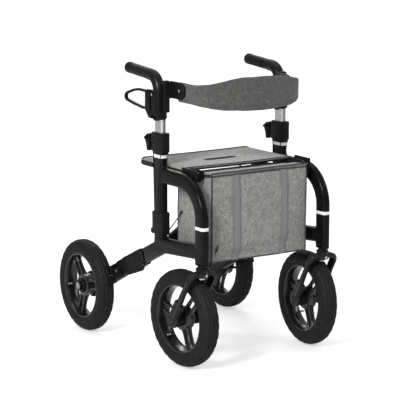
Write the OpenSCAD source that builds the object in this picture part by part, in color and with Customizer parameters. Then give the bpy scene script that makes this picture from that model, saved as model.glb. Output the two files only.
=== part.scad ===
// Rollator walker. The person walks towards -Y, so the right side is at -X.
// Every side part is modelled on the left, at +X, and mirrored for the right.

/* [Overall] */
// Distance from the middle to each side frame's centre plane
side_x = 224; // [215:1:230]
// Distance from the middle to each rear wheel's centre plane
rear_wheel_x = 273; // [272:1:276]
// Height of the seat's upper surface
seat_z = 600; // [590:1:610]

/* [Wheels] */
// Outer diameter of the pneumatic tyres
wheel_d = 300; // [290:1:302]
// Width of the tyres
tyre_w = 56; // [50:1:57]
// Front to rear position of the rear axle
rear_axle_y = 264; // [255:1:270]
// Distance from the caster's turning axis to the front axle
caster_trail = 86; // [80:1:88]
// How far each caster is turned outward at rest
caster_turn = 5; // [0:1:8]

/* [Side frame] */
// Thickness of the flattened frame tube across the walker
tube_t = 26; // [24:1:26]
// Height of the frame tube in the side view
tube_h = 46; // [40:1:48]
// Depth of the upright tube, front to back
upright_d = 48; // [46:1:50]
// Front to rear position of the upright's centre line
upright_y = -121; // [-125:1:-118]
// Top of the upright
upright_top = 640; // [630:1:642]
// Front to rear position of the front tube's centre line
front_tube_y = -350; // [-355:1:-345]
// Bottom of the front tube, where the caster starts
head_z = 325; // [324:1:328]
// Centre line radius of the bend between the top rail and the front tube
bend_r = 108; // [100:1:112]
// Height of the top rail's centre line
top_rail_z = 568; // [566:1:570]
// Angle of the rear leg below horizontal
leg_angle = 25.5; // [25:0.1:26]

/* [Folding] */
// Distance from the middle to the cross arms' lower pivots and the seat rails
rail_x = 194; // [192:1:194]
// Height of the cross arms' lower pivots
pivot_z = 347; // [345:1:350]
// Radius of the seat rails
rail_r = 10; // [8:1:10]
// Thickness of each cross arm, front to back
arm_t = 24; // [20:1:24]
// Depth of each cross arm in its own plane
arm_h = 30; // [24:1:30]

/* [Handles] */
// Radius of the handle tube
handle_r = 18; // [16:0.5:18]
// Radius of the hand grip
grip_r = 17.5; // [16:0.5:18]
// Length of the hand grip
grip_len = 125; // [115:1:130]
// How much the grips rise to the rear
grip_rise = 4.5; // [0:0.5:8]
// Height of the handle bend's centre
handle_bend_z = 822; // [815:1:830]
// Centre line radius of the handle bend
handle_bend_r = 48; // [44:1:50]

/* [Bag and backrest] */
// Width of the bag
bag_w = 352; // [340:1:353]
// Front of the bag
bag_front = -330; // [-332:1:-320]
// Rear of the bag
bag_rear = -135; // [-150:1:-130]
// Bottom of the bag
bag_bottom = 317; // [316:1:330]
// Half width of the backrest band at its widest
backrest_x = 192; // [188:1:194]
// Front of the backrest band
backrest_front = -345; // [-355:1:-335]

/* [Hidden] */
$fn = 64;
eps = 0.1;
// running clearance on a radius
run = 0.05;
// free gap between parts of different bodies
gap = 0.4;

wheel_r = wheel_d / 2;
tyre_ring_r = wheel_r - tyre_w / 2;
tyre_wall = 5.5;
bead_r = tyre_ring_r - 8;
rim_inner_r = bead_r - 18;
hub_r = 24;
hub_ring_r = 36;
hub_ring_w = 30;
spoke_w = 9;
spoke_gap = 24;
front_spoke_turn = -20;
rear_spoke_turn = 20;
axle_r = 6;

frame_in = side_x - tube_t / 2;
frame_out = side_x + tube_t / 2;
upright_back = upright_y + upright_d / 2;
upright_front = upright_y - upright_d / 2;
bend_y = front_tube_y + bend_r;
bend_z = top_rail_z - bend_r;
leg_h = 48;
leg_start_z = 157 + (rear_axle_y - upright_y) * tan(leg_angle);
leg_joint = 96;
leg_len = (rear_axle_y - upright_y) / cos(leg_angle) - 14;
stem_r = 8;
stem_len = 50;
cap_h = 10;

rail_z = seat_z - 5 - rail_r;
rise = rail_z - pivot_z;
span = 2 * rail_x;
arm_len = sqrt(rise * rise + span * span);
arm_angle = atan2(rise, span);
arm_gap = 1;
arm_a_y = -92.5;
arm_b_y = arm_a_y + arm_gap + arm_t;
pin_r = 5;
arm_eye_r = 11;

inner_d = 42;
inner_t = 20;
inner_bottom = 465;
inner_top = 738;
pocket_bottom = 425;
handle_x = side_x + 1;
handle_y = -115;

fork_half = 38;
blade_t = 12;
blade_w = 22;
crown_z = 293;
crown_top = head_z - cap_h - gap;

lever_pivot = [-80, 790];
clamp_pivot = [-65, 680];
brake_pivot = [100, 225];

lid_hinge_y = -232;
lid_front_z = 597;
lid_rear_z = 572;
lid_t = 9;
bag_wall = 5;
backrest_z = 829;
backrest_t = 15;

// ---------- shared helpers ----------

module on_side(side) {
    if (side == "right") {
        mirror([1, 0, 0]) children();
    } else {
        children();
    }
}

// A side-view outline (Y to the right, Z up), made t thick from x0 outward
module side_plate(x0, t) {
    translate([x0, 0, 0]) rotate([90, 0, 90]) linear_extrude(t) children();
}

// A front-view outline (X to the right, Z up), made t thick forward from y0
module front_plate(y0, t) {
    translate([0, y0, 0]) rotate([90, 0, 0]) linear_extrude(t) children();
}

module x_rod(r, x0, x1, y, z) {
    translate([x0, y, z]) rotate([0, 90, 0]) cylinder(r = r, h = x1 - x0);
}

module y_rod(r, y0, y1, x, z) {
    translate([x, y1, z]) rotate([90, 0, 0]) cylinder(r = r, h = y1 - y0);
}

// Flat bar through the points, w wide, with round joints
module path_bar(points, w) {
    for (i = [0 : len(points) - 2]) {
        d = points[i + 1] - points[i];
        translate(points[i]) rotate(atan2(d.y, d.x)) translate([0, -w / 2]) square([norm(d), w]);
    }
    for (p = points) translate(p) circle(r = w / 2);
}

module rounded_rect(w, h, r) {
    square([w - 2 * r, h], center = true);
    square([w, h - 2 * r], center = true);
    for (i = [-1, 1]) {
        for (j = [-1, 1]) translate([i * (w / 2 - r), j * (h / 2 - r)]) circle(r = r);
    }
}

// The rear leg's own frame in the side view: +X runs down along the leg
module along_leg() {
    translate([upright_y, leg_start_z]) rotate(-leg_angle) children();
}

// ---------- side frame ----------

module frame_outline() {
    translate([upright_front, leg_start_z]) square([upright_d, upright_top - leg_start_z]);
    translate([bend_y, top_rail_z - tube_h / 2]) square([upright_y - bend_y, tube_h]);
    translate([bend_y, bend_z]) intersection() {
        difference() {
            circle(r = bend_r + tube_h / 2, $fn = 128);
            circle(r = bend_r - tube_h / 2, $fn = 128);
        }
        translate([-2 * bend_r, 0]) square([2 * bend_r, 2 * bend_r]);
    }
    translate([front_tube_y - tube_h / 2, head_z]) square([tube_h, bend_z - head_z]);
    path_bar([[upright_y, 348], [front_tube_y, 368]], tube_h);
    translate([upright_y, leg_start_z]) circle(r = leg_h / 2);
    along_leg() translate([0, -leg_h / 2]) square([leg_joint, leg_h]);
}

// Bracket on the frame's inner face that holds a cross arm between two ears
module arm_bracket(arm_y) {
    ear_t = 5;
    play = 0.3;
    base = 4.5;
    translate([frame_in - base, arm_y - arm_t - 10, pivot_z - 18]) cube([base + eps, arm_t + 20, 30]);
    for (y = [arm_y + play, arm_y - arm_t - play - ear_t]) {
        translate([rail_x, y, pivot_z - 10]) cube([frame_in - rail_x, ear_t, 20]);
        y_rod(10, y, y + ear_t, rail_x, pivot_z);
    }
    y_rod(pin_r, arm_y - arm_t - play - eps, arm_y + play + eps, rail_x, pivot_z);
}

module frame(side) {
    color("#26282b") on_side(side) {
        difference() {
            side_plate(frame_in, tube_t) frame_outline();
            translate([side_x - 10.5, upright_y - 21.5, pocket_bottom]) cube([21, 43, upright_top]);
            translate([side_x, front_tube_y, head_z - 1]) cylinder(r = stem_r + run, h = stem_len + 3);
        }
        arm_bracket(side == "right" ? arm_a_y : arm_b_y);
    }
}

module rear_leg(side) {
    color("#26282b") on_side(side) difference() {
        side_plate(frame_in, tube_t) {
            along_leg() translate([leg_joint, -leg_h / 2]) square([leg_len - leg_joint, leg_h]);
            translate([rear_axle_y, wheel_r]) circle(r = 26);
        }
        x_rod(axle_r, frame_in - 1, frame_out + 1, rear_axle_y, wheel_r);
    }
}

// Moulded casing round the joint of the leg, with the brake cable's housing below it
module leg_casing(side) {
    wall = 4;
    color("#1d1e20") on_side(side) difference() {
        union() {
            side_plate(frame_in - wall, tube_t + 2 * wall)
                along_leg() translate([leg_joint + 4, -leg_h / 2 - 3]) square([134, leg_h + 5]);
            side_plate(frame_in - 2, tube_t + 4)
                along_leg() translate([leg_joint + 138, -leg_h / 2 - 2]) square([36, leg_h + 3]);
            side_plate(side_x - 11, 22)
                polygon([[-30, 285], [-16, 260], [-2, 242], [47, 224], [100, 207], [112, 225]]);
            x_rod(pin_r, frame_out + 1, frame_out + 24, brake_pivot.x, brake_pivot.y);
        }
        side_plate(frame_in, tube_t)
            along_leg() translate([leg_joint - 40, -leg_h / 2]) square([leg_len, leg_h]);
    }
}

module height_collar(side) {
    z0 = 632;
    h = 66;
    ear_h = 20;
    color("#1a1b1d") on_side(side) difference() {
        union() {
            translate([side_x, upright_y, z0 + 8]) linear_extrude(h - 8) rounded_rect(tube_t + 8, 62, 9);
            translate([side_x, upright_y, z0]) linear_extrude(9) rounded_rect(tube_t + 6, 54, 9);
            translate([side_x - 5, upright_y + 28, clamp_pivot.y - 8])
                cube([10, clamp_pivot.x - upright_y - 28, ear_h - 4]);
            x_rod(8, side_x - 5, side_x + 5, clamp_pivot.x, clamp_pivot.y);
            x_rod(3, side_x - 12, side_x + 12, clamp_pivot.x, clamp_pivot.y);
        }
        translate([frame_in, upright_front, z0 - 1]) cube([tube_t, upright_d, upright_top - z0 + 1]);
        translate([side_x - 10.6, upright_y - 21.6, z0]) cube([21.2, 43.2, h + 1]);
        x_rod(3.5, side_x + 12, side_x + 20, -100, 665);
    }
}

module lower_collar(side) {
    z0 = 384;
    h = 69;
    color("#1a1b1d") on_side(side) difference() {
        union() {
            translate([side_x, upright_y, z0]) linear_extrude(h) rounded_rect(tube_t + 8, 58, 8);
            x_rod(10, side_x - 15, side_x + 15, upright_back + 4, z0 + 7);
        }
        translate([frame_in, upright_front, z0 - 20]) cube([tube_t, upright_d, h + 40]);
    }
}

// Thin bands round the upright and the front tube
module reflectors(side) {
    film = 0.5;
    color("white") on_side(side) for (band = [[upright_y, upright_d, 621], [front_tube_y, tube_h, 435]]) {
        translate([side_x, band[0], band[2]]) difference() {
            translate([-tube_t / 2 - film, -band[1] / 2 - film, 0])
                cube([tube_t + 2 * film, band[1] + 2 * film, 10]);
            translate([-tube_t / 2, -band[1] / 2, -1]) cube([tube_t, band[1], 12]);
        }
    }
}

module caster_bearing(side) {
    color("#141414") on_side(side) translate([side_x, front_tube_y, head_z]) mirror([0, 0, 1]) difference() {
        union() {
            cylinder(r = 13, h = 6);
            translate([0, 0, 5]) cylinder(r = 19, h = cap_h - 5);
        }
        translate([0, 0, -1]) cylinder(r = stem_r + run, h = cap_h + 2);
    }
}

module rear_axle(side) {
    color("silver") on_side(side) x_rod(axle_r, frame_in, rear_wheel_x + 22, rear_axle_y, wheel_r);
}

// ---------- handles ----------

module inner_tube(side) {
    color("#c9ccd0") on_side(side) translate([side_x, upright_y, inner_bottom]) difference() {
        linear_extrude(inner_top - inner_bottom) rounded_rect(inner_t, inner_d, 8);
        translate([-1.5, -inner_d / 2 - 1, -1]) cube([3, 2.5, inner_top]);
    }
}

// From the handle bend's end, rearward along the grip's axis
module at_grip(side) {
    turn = 90 - grip_rise;
    on_side(side)
        translate([handle_x, handle_y + handle_bend_r * (1 - cos(turn)), handle_bend_z + handle_bend_r * sin(turn)])
            rotate([-turn, 0, 0]) children();
}

module handle_tube(side) {
    collar = 11;
    color("#1c1d1f") {
        on_side(side) {
            translate([handle_x, handle_y, inner_top]) cylinder(r = handle_r, h = handle_bend_z - inner_top);
            translate([handle_x, handle_y + handle_bend_r, handle_bend_z]) rotate([90, 0, -90])
                rotate_extrude(angle = 90 - grip_rise) translate([handle_bend_r, 0]) circle(r = handle_r);
        }
        at_grip(side) {
            cylinder(r = handle_r, h = collar);
            cylinder(r = 14, h = collar + grip_len - 10);
        }
    }
}

module grip(side) {
    collar = 11;
    end_r = 8;
    color("#151515") at_grip(side) translate([0, 0, collar]) difference() {
        rotate_extrude() {
            square([grip_r, grip_len - end_r]);
            square([grip_r - end_r, grip_len]);
            translate([grip_r - end_r, grip_len - end_r]) intersection() {
                circle(r = end_r);
                square(end_r);
            }
        }
        translate([0, 0, -1]) cylinder(r = 14, h = grip_len - 9);
    }
}

// Casing on the handle tube that the brake lever turns in
module brake_housing(side) {
    x0 = 206.5;
    w = 38;
    slot_w = 12.8;
    color("#17181a") on_side(side) {
        difference() {
            side_plate(x0, w)
                polygon([[-136, 738], [-83, 738], [-62, 763], [-62, 821], [-72, 826], [-128, 826], [-136, 818]]);
            translate([handle_x, handle_y, 700]) cylinder(r = handle_r + run, h = 200);
            translate([handle_x - slot_w / 2, -96, 700]) cube([slot_w, 60, 200]);
        }
        x_rod(4, handle_x - 14, handle_x + 14, lever_pivot.x, lever_pivot.y);
    }
}

// Bracket in front of the handle tube, and the plate that carries the backrest band
module backrest_plate(side) {
    plate_x = backrest_x + 0.5;
    plate_t = 8;
    end_r = 26;
    color("#1a1b1d") on_side(side) {
        translate([207, -150, 760]) cube([21, 13.8, 98]);
        translate([plate_x + plate_t - eps, -150, backrest_z - end_r]) cube([8, 12, 2 * end_r]);
        side_plate(plate_x, plate_t) {
            translate([-190, backrest_z - end_r]) square([52, 2 * end_r]);
            translate([-190, backrest_z]) circle(r = end_r);
        }
    }
}

// Points of a clockwise outline, all moved inward by w
function inset(points, w) =
    let (n = len(points), side = function(a, b) [b.y - a.y, a.x - b.x] / norm(b - a))
    [for (i = [0 : n - 1])
        let (p = points[i], u = side(points[(i + n - 1) % n], p), v = side(p, points[(i + 1) % n]))
        p + w * (u + v) / (1 + u * v)];

module brake_lever(side) {
    loop = [[-64, 816], [2, 817], [31, 812], [73, 799], [82, 787], [73, 778], [27, 770], [-26, 763], [-64, 767]];
    t = 12;
    bar = 8;
    color("#17181a") on_side(side) difference() {
        side_plate(handle_x - t / 2, t) {
            difference() {
                polygon(inset(loop, -bar / 2));
                polygon(inset(loop, bar / 2));
            }
            translate([lever_pivot.x, lever_pivot.y - 9]) square([18, 18]);
            translate(lever_pivot) circle(r = 11);
        }
        x_rod(4 + run, handle_x - 10, handle_x + 10, lever_pivot.x, lever_pivot.y);
    }
}

module height_lever(side) {
    w = 26;
    slot_w = 10.8;
    color("#17181a") on_side(side) difference() {
        side_plate(side_x - w / 2, w) {
            translate(clamp_pivot) circle(r = 9);
            polygon([[-74, 680], [-65, 689], [-56, 683], [-39, 674], [-52, 668], [-57, 655], [-60, 636],
                     [-70, 636], [-76, 660]]);
        }
        translate([side_x - slot_w / 2, -90, 667]) cube([slot_w, 35, 40]);
        x_rod(3 + run, side_x - 20, side_x + 20, clamp_pivot.x, clamp_pivot.y);
    }
}

// Arm that presses its shoe against the rear tyre
module brake_arm(side) {
    x0 = frame_out + 2.5;
    arm_w = 18;
    shoe_gap = 2.5;
    color("#17181a") on_side(side) {
        difference() {
            side_plate(x0, arm_w) {
                translate(brake_pivot) circle(r = 10);
                path_bar([brake_pivot, [107, 203]], 14);
            }
            x_rod(pin_r + run, x0 - 1, x0 + 30, brake_pivot.x, brake_pivot.y);
        }
        side_plate(x0 + arm_w - 6, 34) intersection() {
            translate([rear_axle_y, wheel_r]) difference() {
                circle(r = wheel_r + shoe_gap + 12, $fn = 128);
                circle(r = wheel_r + shoe_gap, $fn = 128);
            }
            translate([90, 180]) square([40, 32]);
        }
    }
}

// ---------- wheels ----------

// Places the left caster's parts: the origin is on the turning axis, +Y trails
module at_caster(side) {
    on_side(side) translate([side_x, front_tube_y, 0]) rotate([0, 0, -caster_turn]) children();
}

module at_front_wheel(side) {
    at_caster(side) translate([0, caster_trail, wheel_r]) rotate([0, 90, 0]) children();
}

module at_rear_wheel(side) {
    on_side(side) translate([rear_wheel_x, rear_axle_y, wheel_r]) rotate([0, 90, 0]) children();
}

module fork(side) {
    color("#1a1b1d") at_caster(side) difference() {
        union() {
            translate([0, 0, crown_z + 4]) cylinder(r = stem_r, h = head_z + stem_len - crown_z - 4);
            translate([0, 0, crown_z]) cylinder(r = 19, h = crown_top - crown_z);
            translate([-fork_half - blade_t, -14, crown_z]) cube([2 * (fork_half + blade_t), 30, 12]);
            for (x = [-fork_half - blade_t, fork_half]) {
                side_plate(x, blade_t) {
                    path_bar([[2, crown_z + 1], [caster_trail, wheel_r]], blade_w);
                    translate([caster_trail, wheel_r]) circle(r = 25);
                }
            }
        }
        x_rod(axle_r, -80, 80, caster_trail, wheel_r);
    }
}

module front_axle(side) {
    end = fork_half + blade_t;
    color("silver") at_caster(side) {
        x_rod(axle_r, -end, end, caster_trail, wheel_r);
        for (x = [-end - 5, end]) x_rod(10, x, x + 5, caster_trail, wheel_r);
    }
}

// Rim ring, a centre ring and three pairs of spokes
module rim(spoke_turn) {
    difference() {
        union() {
            difference() {
                translate([0, 0, -24]) cylinder(r = bead_r, h = 48, $fn = 128);
                translate([0, 0, -25]) cylinder(r = rim_inner_r, h = 50, $fn = 128);
            }
            translate([0, 0, -hub_ring_w / 2]) cylinder(r = hub_ring_r, h = hub_ring_w);
            for (i = [0 : 2]) rotate(i * 120 + spoke_turn) {
                for (side = [-1, 1]) translate([hub_r + 4, side * spoke_gap / 2 - spoke_w / 2, -8])
                    cube([rim_inner_r - hub_r, spoke_w, 16]);
            }
        }
        translate([0, 0, -60]) cylinder(r = hub_r, h = 120);
    }
}

module tyre() {
    rotate_extrude($fn = 128) difference() {
        translate([tyre_ring_r, 0]) circle(r = tyre_w / 2);
        translate([tyre_ring_r, 0]) circle(r = tyre_w / 2 - tyre_wall);
        translate([0, -tyre_w]) square([bead_r, 2 * tyre_w]);
    }
}

module front_rim(side) {
    color("#1b1c1e") at_front_wheel(side) rim(front_spoke_turn);
}

module front_tyre(side) {
    color("#111111") at_front_wheel(side) tyre();
}

module front_hub(side) {
    half = fork_half - gap;
    color("#17181a") at_front_wheel(side) difference() {
        translate([0, 0, -half]) cylinder(r = hub_r, h = 2 * half);
        translate([0, 0, -50]) cylinder(r = axle_r + run, h = 100);
    }
}

module rear_rim(side) {
    color("#1b1c1e") at_rear_wheel(side) rim(rear_spoke_turn);
}

module rear_tyre(side) {
    color("#111111") at_rear_wheel(side) tyre();
}

// Hub with an inner drum and a round cap outside
module rear_hub(side) {
    inner = frame_out + 4 - rear_wheel_x;
    color("#17181a") at_rear_wheel(side) difference() {
        union() {
            translate([0, 0, inner]) cylinder(r = hub_r, h = 24 - inner);
            translate([0, 0, inner]) cylinder(r = 42, h = 14);
            translate([0, 0, 23]) cylinder(r = 15, h = 9);
        }
        translate([0, 0, -60]) cylinder(r = axle_r + run, h = 60 + 22.5);
    }
}

// ---------- folding parts ----------

// Bar from a lower pivot up to the opposite seat rail, leaning to the right of its pivot
module cross_arm_outline() {
    neck = 20;
    translate([-rail_x, pivot_z]) {
        circle(r = arm_eye_r);
        rotate(arm_angle) {
            translate([0, 1 - arm_eye_r]) square([arm_len, 2 * arm_eye_r - 2]);
            translate([neck, -arm_h / 2]) square([arm_len - 2 * neck, arm_h]);
            translate([arm_len, 0]) circle(r = arm_eye_r);
        }
    }
}

module arm_with_bores(arm_y) {
    difference() {
        front_plate(arm_y, arm_t) cross_arm_outline();
        y_rod(pin_r + run, arm_y - arm_t - 1, arm_y + 1, -rail_x, pivot_z);
        y_rod(rail_r, arm_y - arm_t - 1, arm_y + 1, rail_x, rail_z);
        // The eye round the rail is cut flat, just under the seat
        translate([rail_x - 20, arm_y - arm_t - 1, seat_z - 5 - gap]) cube([40, arm_t + 2, 20]);
        children();
    }
}

// Pivots on the right side frame and carries the left seat rail
module cross_arm_a() {
    color("#202124") arm_with_bores(arm_a_y)
        y_rod(pin_r, arm_a_y - arm_t - 1, arm_a_y + 1, 0, pivot_z + rise / 2);
}

// Pivots on the left side frame and carries the right seat rail
module cross_arm_b() {
    color("#202124") mirror([1, 0, 0]) arm_with_bores(arm_b_y)
        y_rod(pin_r + run, arm_b_y - arm_t - 1, arm_b_y + 1, 0, pivot_z + rise / 2);
}

module cross_bolt() {
    color("silver") {
        y_rod(pin_r, arm_a_y - arm_t, arm_b_y + gap, 0, pivot_z + rise / 2);
        y_rod(9, arm_a_y - arm_t - 4, arm_a_y - arm_t, 0, pivot_z + rise / 2);
        y_rod(9, arm_b_y + gap, arm_b_y + 4, 0, pivot_z + rise / 2);
    }
}

module seat_rail(side) {
    color("#151515") on_side(side) y_rod(rail_r, -290, 25, rail_x, rail_z);
}

// Cradle on the side frame that the seat rail drops into
module seat_catch(side) {
    x0 = rail_x - 15;
    color("#17181a") on_side(side) difference() {
        translate([x0, -294, rail_z - 19]) cube([frame_in - x0, 68, 36]);
        y_rod(rail_r + gap, -300, -220, rail_x, rail_z);
        translate([rail_x - rail_r - gap, -300, rail_z]) cube([2 * (rail_r + gap), 80, 40]);
    }
}

module seat() {
    w = 2 * rail_x + 20;
    color("#8b8f8f") difference() {
        translate([-w / 2, -222, seat_z - 5]) cube([w, 249, 5]);
        translate([-43, -113, 0]) linear_extrude(seat_z + 10) {
            translate([0, -7]) square([86, 14]);
            circle(r = 7);
            translate([86, 0]) circle(r = 7);
        }
    }
}

// ---------- bag and backrest ----------

// Height of the lid's upper surface at a place along Y
function lid_z(y) = lid_front_z + (lid_rear_z - lid_front_z) * (y - bag_front) / (bag_rear - bag_front);

// Open-topped bag, with its fixed top strip behind the lid
module bag() {
    w = bag_w;
    inner_front = bag_front + bag_wall;
    inner_rear = bag_rear - bag_wall;
    color("#868a8a") difference() {
        side_plate(-w / 2, w) polygon([
            [bag_front, bag_bottom], [bag_rear, bag_bottom], [bag_rear, lid_z(bag_rear)],
            [lid_hinge_y + 1, lid_z(lid_hinge_y + 1)], [lid_hinge_y + 1, lid_z(lid_hinge_y + 1) - lid_t - 1],
            [bag_front, lid_front_z - lid_t - 1]
        ]);
        side_plate(-w / 2 + bag_wall, w - 2 * bag_wall) polygon([
            [inner_front, bag_bottom + bag_wall], [inner_rear, bag_bottom + bag_wall],
            [inner_rear, lid_z(inner_rear) - lid_t], [lid_hinge_y + 1, lid_z(lid_hinge_y + 1) - lid_t],
            [lid_hinge_y + 1, lid_front_z], [inner_front, lid_front_z]
        ]);
    }
}

module bag_lid() {
    w = bag_w + 4;
    lip_t = 2.6;
    lip_h = 22;
    front = bag_front - lip_t - gap;
    color("#868a8a") side_plate(-w / 2, w) polygon([
        [front, lid_front_z], [lid_hinge_y, lid_z(lid_hinge_y)], [lid_hinge_y, lid_z(lid_hinge_y) - lid_t],
        [bag_front - gap, lid_front_z - lid_t], [bag_front - gap, lid_front_z - lip_h], [front, lid_front_z - lip_h]
    ]);
}

// Cords from the lower collars to the bag's rear edge
module bag_stays() {
    r = 1.8;
    from = [204.5, -122, 384];
    to = [bag_w / 2 + 2, -168, 455];
    d = to - from;
    color("#141414") for (side = ["right", "left"]) on_side(side) translate(from)
        rotate([0, acos(d.z / norm(d)), atan2(d.y, d.x)]) cylinder(r = r, h = norm(d), $fn = 16);
}

// Padded band that bows forward between the two plates, deeper in the middle
module backrest() {
    ends_y = -162;
    bow_y = -239;
    depth = bow_y - backrest_front;
    steps = 40;
    end_h = 26;
    mid_h = 49;
    mid_x = 90;
    // Half an ellipse from the left end round the front to the right end, with straight tails
    function bow(inset) = concat(
        [[backrest_x - inset, ends_y]],
        [for (i = [0 : steps]) let (t = i * 180 / steps)
            [(backrest_x - inset) * cos(t), bow_y - (depth - inset) * sin(t)]],
        [[inset - backrest_x, ends_y]]
    );
    function reversed(list) = [for (i = [len(list) - 1 : -1 : 0]) list[i]];
    color("#7f8383") intersection() {
        translate([0, 0, backrest_z - mid_h]) linear_extrude(2 * mid_h)
            polygon(concat(bow(0), reversed(bow(backrest_t))));
        front_plate(0, 400) polygon([
            [-backrest_x - 1, backrest_z + end_h], [-mid_x, backrest_z + mid_h], [mid_x, backrest_z + mid_h],
            [backrest_x + 1, backrest_z + end_h], [backrest_x + 1, backrest_z - end_h],
            [mid_x, backrest_z - mid_h], [-mid_x, backrest_z - mid_h], [-backrest_x - 1, backrest_z - end_h]
        ]);
    }
}

// ---------- every node ----------

frame("right");  // right_frame
rear_leg("right");  // right_rear_leg
leg_casing("right");  // right_leg_casing
height_collar("right");  // right_height_collar
lower_collar("right");  // right_lower_collar
reflectors("right");  // right_reflectors
caster_bearing("right");  // right_caster_bearing
rear_axle("right");  // right_rear_axle
inner_tube("right");  // right_inner_tube
handle_tube("right");  // right_handle_tube
grip("right");  // right_grip
brake_housing("right");  // right_brake_housing
backrest_plate("right");  // right_backrest_plate
brake_lever("right");  // right_brake_lever
height_lever("right");  // right_height_lever
brake_arm("right");  // right_brake_arm
fork("right");  // right_fork
front_axle("right");  // right_front_axle
front_rim("right");  // right_front_rim
front_tyre("right");  // right_front_tyre
front_hub("right");  // right_front_hub
rear_rim("right");  // right_rear_rim
rear_tyre("right");  // right_rear_tyre
rear_hub("right");  // right_rear_hub
seat_rail("right");  // right_seat_rail
seat_catch("right");  // right_seat_catch
frame("left");  // left_frame
rear_leg("left");  // left_rear_leg
leg_casing("left");  // left_leg_casing
height_collar("left");  // left_height_collar
lower_collar("left");  // left_lower_collar
reflectors("left");  // left_reflectors
caster_bearing("left");  // left_caster_bearing
rear_axle("left");  // left_rear_axle
inner_tube("left");  // left_inner_tube
handle_tube("left");  // left_handle_tube
grip("left");  // left_grip
brake_housing("left");  // left_brake_housing
backrest_plate("left");  // left_backrest_plate
brake_lever("left");  // left_brake_lever
height_lever("left");  // left_height_lever
brake_arm("left");  // left_brake_arm
fork("left");  // left_fork
front_axle("left");  // left_front_axle
front_rim("left");  // left_front_rim
front_tyre("left");  // left_front_tyre
front_hub("left");  // left_front_hub
rear_rim("left");  // left_rear_rim
rear_tyre("left");  // left_rear_tyre
rear_hub("left");  // left_rear_hub
seat_rail("left");  // left_seat_rail
seat_catch("left");  // left_seat_catch
cross_arm_a();
cross_arm_b();
cross_bolt();
seat();
bag();
bag_lid();
bag_stays();
backrest();
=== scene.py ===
"""Looks of the rollator walker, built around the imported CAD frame.

Lengths in the shape code are millimetres in the row frame (+X left, -Y front, +Z up) and become metres
in build(). Side pieces are modelled on the left side and mirrored for the right.
"""

import math

import bmesh
import bpy
import numpy as np
from mathutils import Matrix, Vector, noise
from mathutils.bvhtree import BVHTree


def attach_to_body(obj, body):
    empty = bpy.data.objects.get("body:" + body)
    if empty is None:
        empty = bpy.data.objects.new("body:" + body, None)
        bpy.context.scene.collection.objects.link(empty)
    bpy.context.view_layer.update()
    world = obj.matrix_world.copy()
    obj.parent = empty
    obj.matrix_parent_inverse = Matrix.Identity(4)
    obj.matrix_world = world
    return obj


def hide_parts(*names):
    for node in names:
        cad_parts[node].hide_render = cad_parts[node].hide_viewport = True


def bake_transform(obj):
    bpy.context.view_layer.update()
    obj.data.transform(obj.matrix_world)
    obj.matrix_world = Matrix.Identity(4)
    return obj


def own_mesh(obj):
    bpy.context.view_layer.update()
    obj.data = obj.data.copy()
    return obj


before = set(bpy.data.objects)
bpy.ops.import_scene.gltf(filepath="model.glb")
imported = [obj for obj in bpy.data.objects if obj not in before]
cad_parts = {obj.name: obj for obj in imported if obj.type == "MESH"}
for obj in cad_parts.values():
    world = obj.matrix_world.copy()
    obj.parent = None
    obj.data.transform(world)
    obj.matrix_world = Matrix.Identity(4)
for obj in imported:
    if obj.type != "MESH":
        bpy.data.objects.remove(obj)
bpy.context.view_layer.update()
MM = 0.001
SIDES = ("right", "left")


# ---------- shapes: every function returns (vertices, faces), in millimetres ----------

def fillet(corners, steps=8):
    """A closed outline from (u, v, radius) corners, each rounded by an arc."""
    out = []
    n = len(corners)
    for i, (u, v, r) in enumerate(corners):
        p = Vector((u, v))
        a = (Vector(corners[i - 1][:2]) - p).normalized()
        b = (Vector(corners[(i + 1) % n][:2]) - p).normalized()
        half = a.angle(b) / 2
        if r < 0.2 or half > 1.55:
            out.append((u, v))
            continue
        cut = r / math.tan(half)
        centre = p + (a + b).normalized() * (r / math.sin(half))
        start, end = p + a * cut - centre, p + b * cut - centre
        turn = start.angle_signed(end)
        count = max(2, int(steps * abs(turn) / (math.pi / 2)) + 1)
        for k in range(count + 1):
            t = -turn * k / count
            out.append((centre.x + start.x * math.cos(t) - start.y * math.sin(t),
                        centre.y + start.x * math.sin(t) + start.y * math.cos(t)))
    return out


def rounded_rect(w, d, r, steps=5):
    """Closed outline of a rectangle with round corners, centred on the origin."""
    r = max(min(r, w / 2 - 0.01, d / 2 - 0.01), 0.05)
    out = []
    for i, (sx, sy) in enumerate(((1, 1), (-1, 1), (-1, -1), (1, -1))):
        for k in range(steps + 1):
            a = math.pi / 2 * (i + k / steps)
            out.append((sx * (w / 2 - r) + r * math.cos(a), sy * (d / 2 - r) + r * math.sin(a)))
    return out


def loft(rings, caps=True, closed=False):
    """Skin through rings that have the same number of points."""
    n = len(rings[0])
    verts = [tuple(p) for ring in rings for p in ring]
    faces = []
    last = len(rings) if closed else len(rings) - 1
    for i in range(last):
        a, b = i * n, (i + 1) % len(rings) * n
        faces += [(a + k, a + (k + 1) % n, b + (k + 1) % n, b + k) for k in range(n)]
    if caps and not closed:
        faces.append(tuple(range(n - 1, -1, -1)))
        faces.append(tuple(range(len(verts) - n, len(verts))))
    return verts, faces


def lathe(profile, n=96):
    """Turned shape about the X axis from (x, r) points. Points with r = 0 close it."""
    rings = []
    for x, r in profile:
        r = max(r, 0.01)
        rings.append([(x, r * math.sin(2 * math.pi * i / n), r * math.cos(2 * math.pi * i / n))
                      for i in range(n)])
    return loft(rings, closed=profile[0][1] > 0.5 and profile[-1][1] > 0.5)


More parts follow.
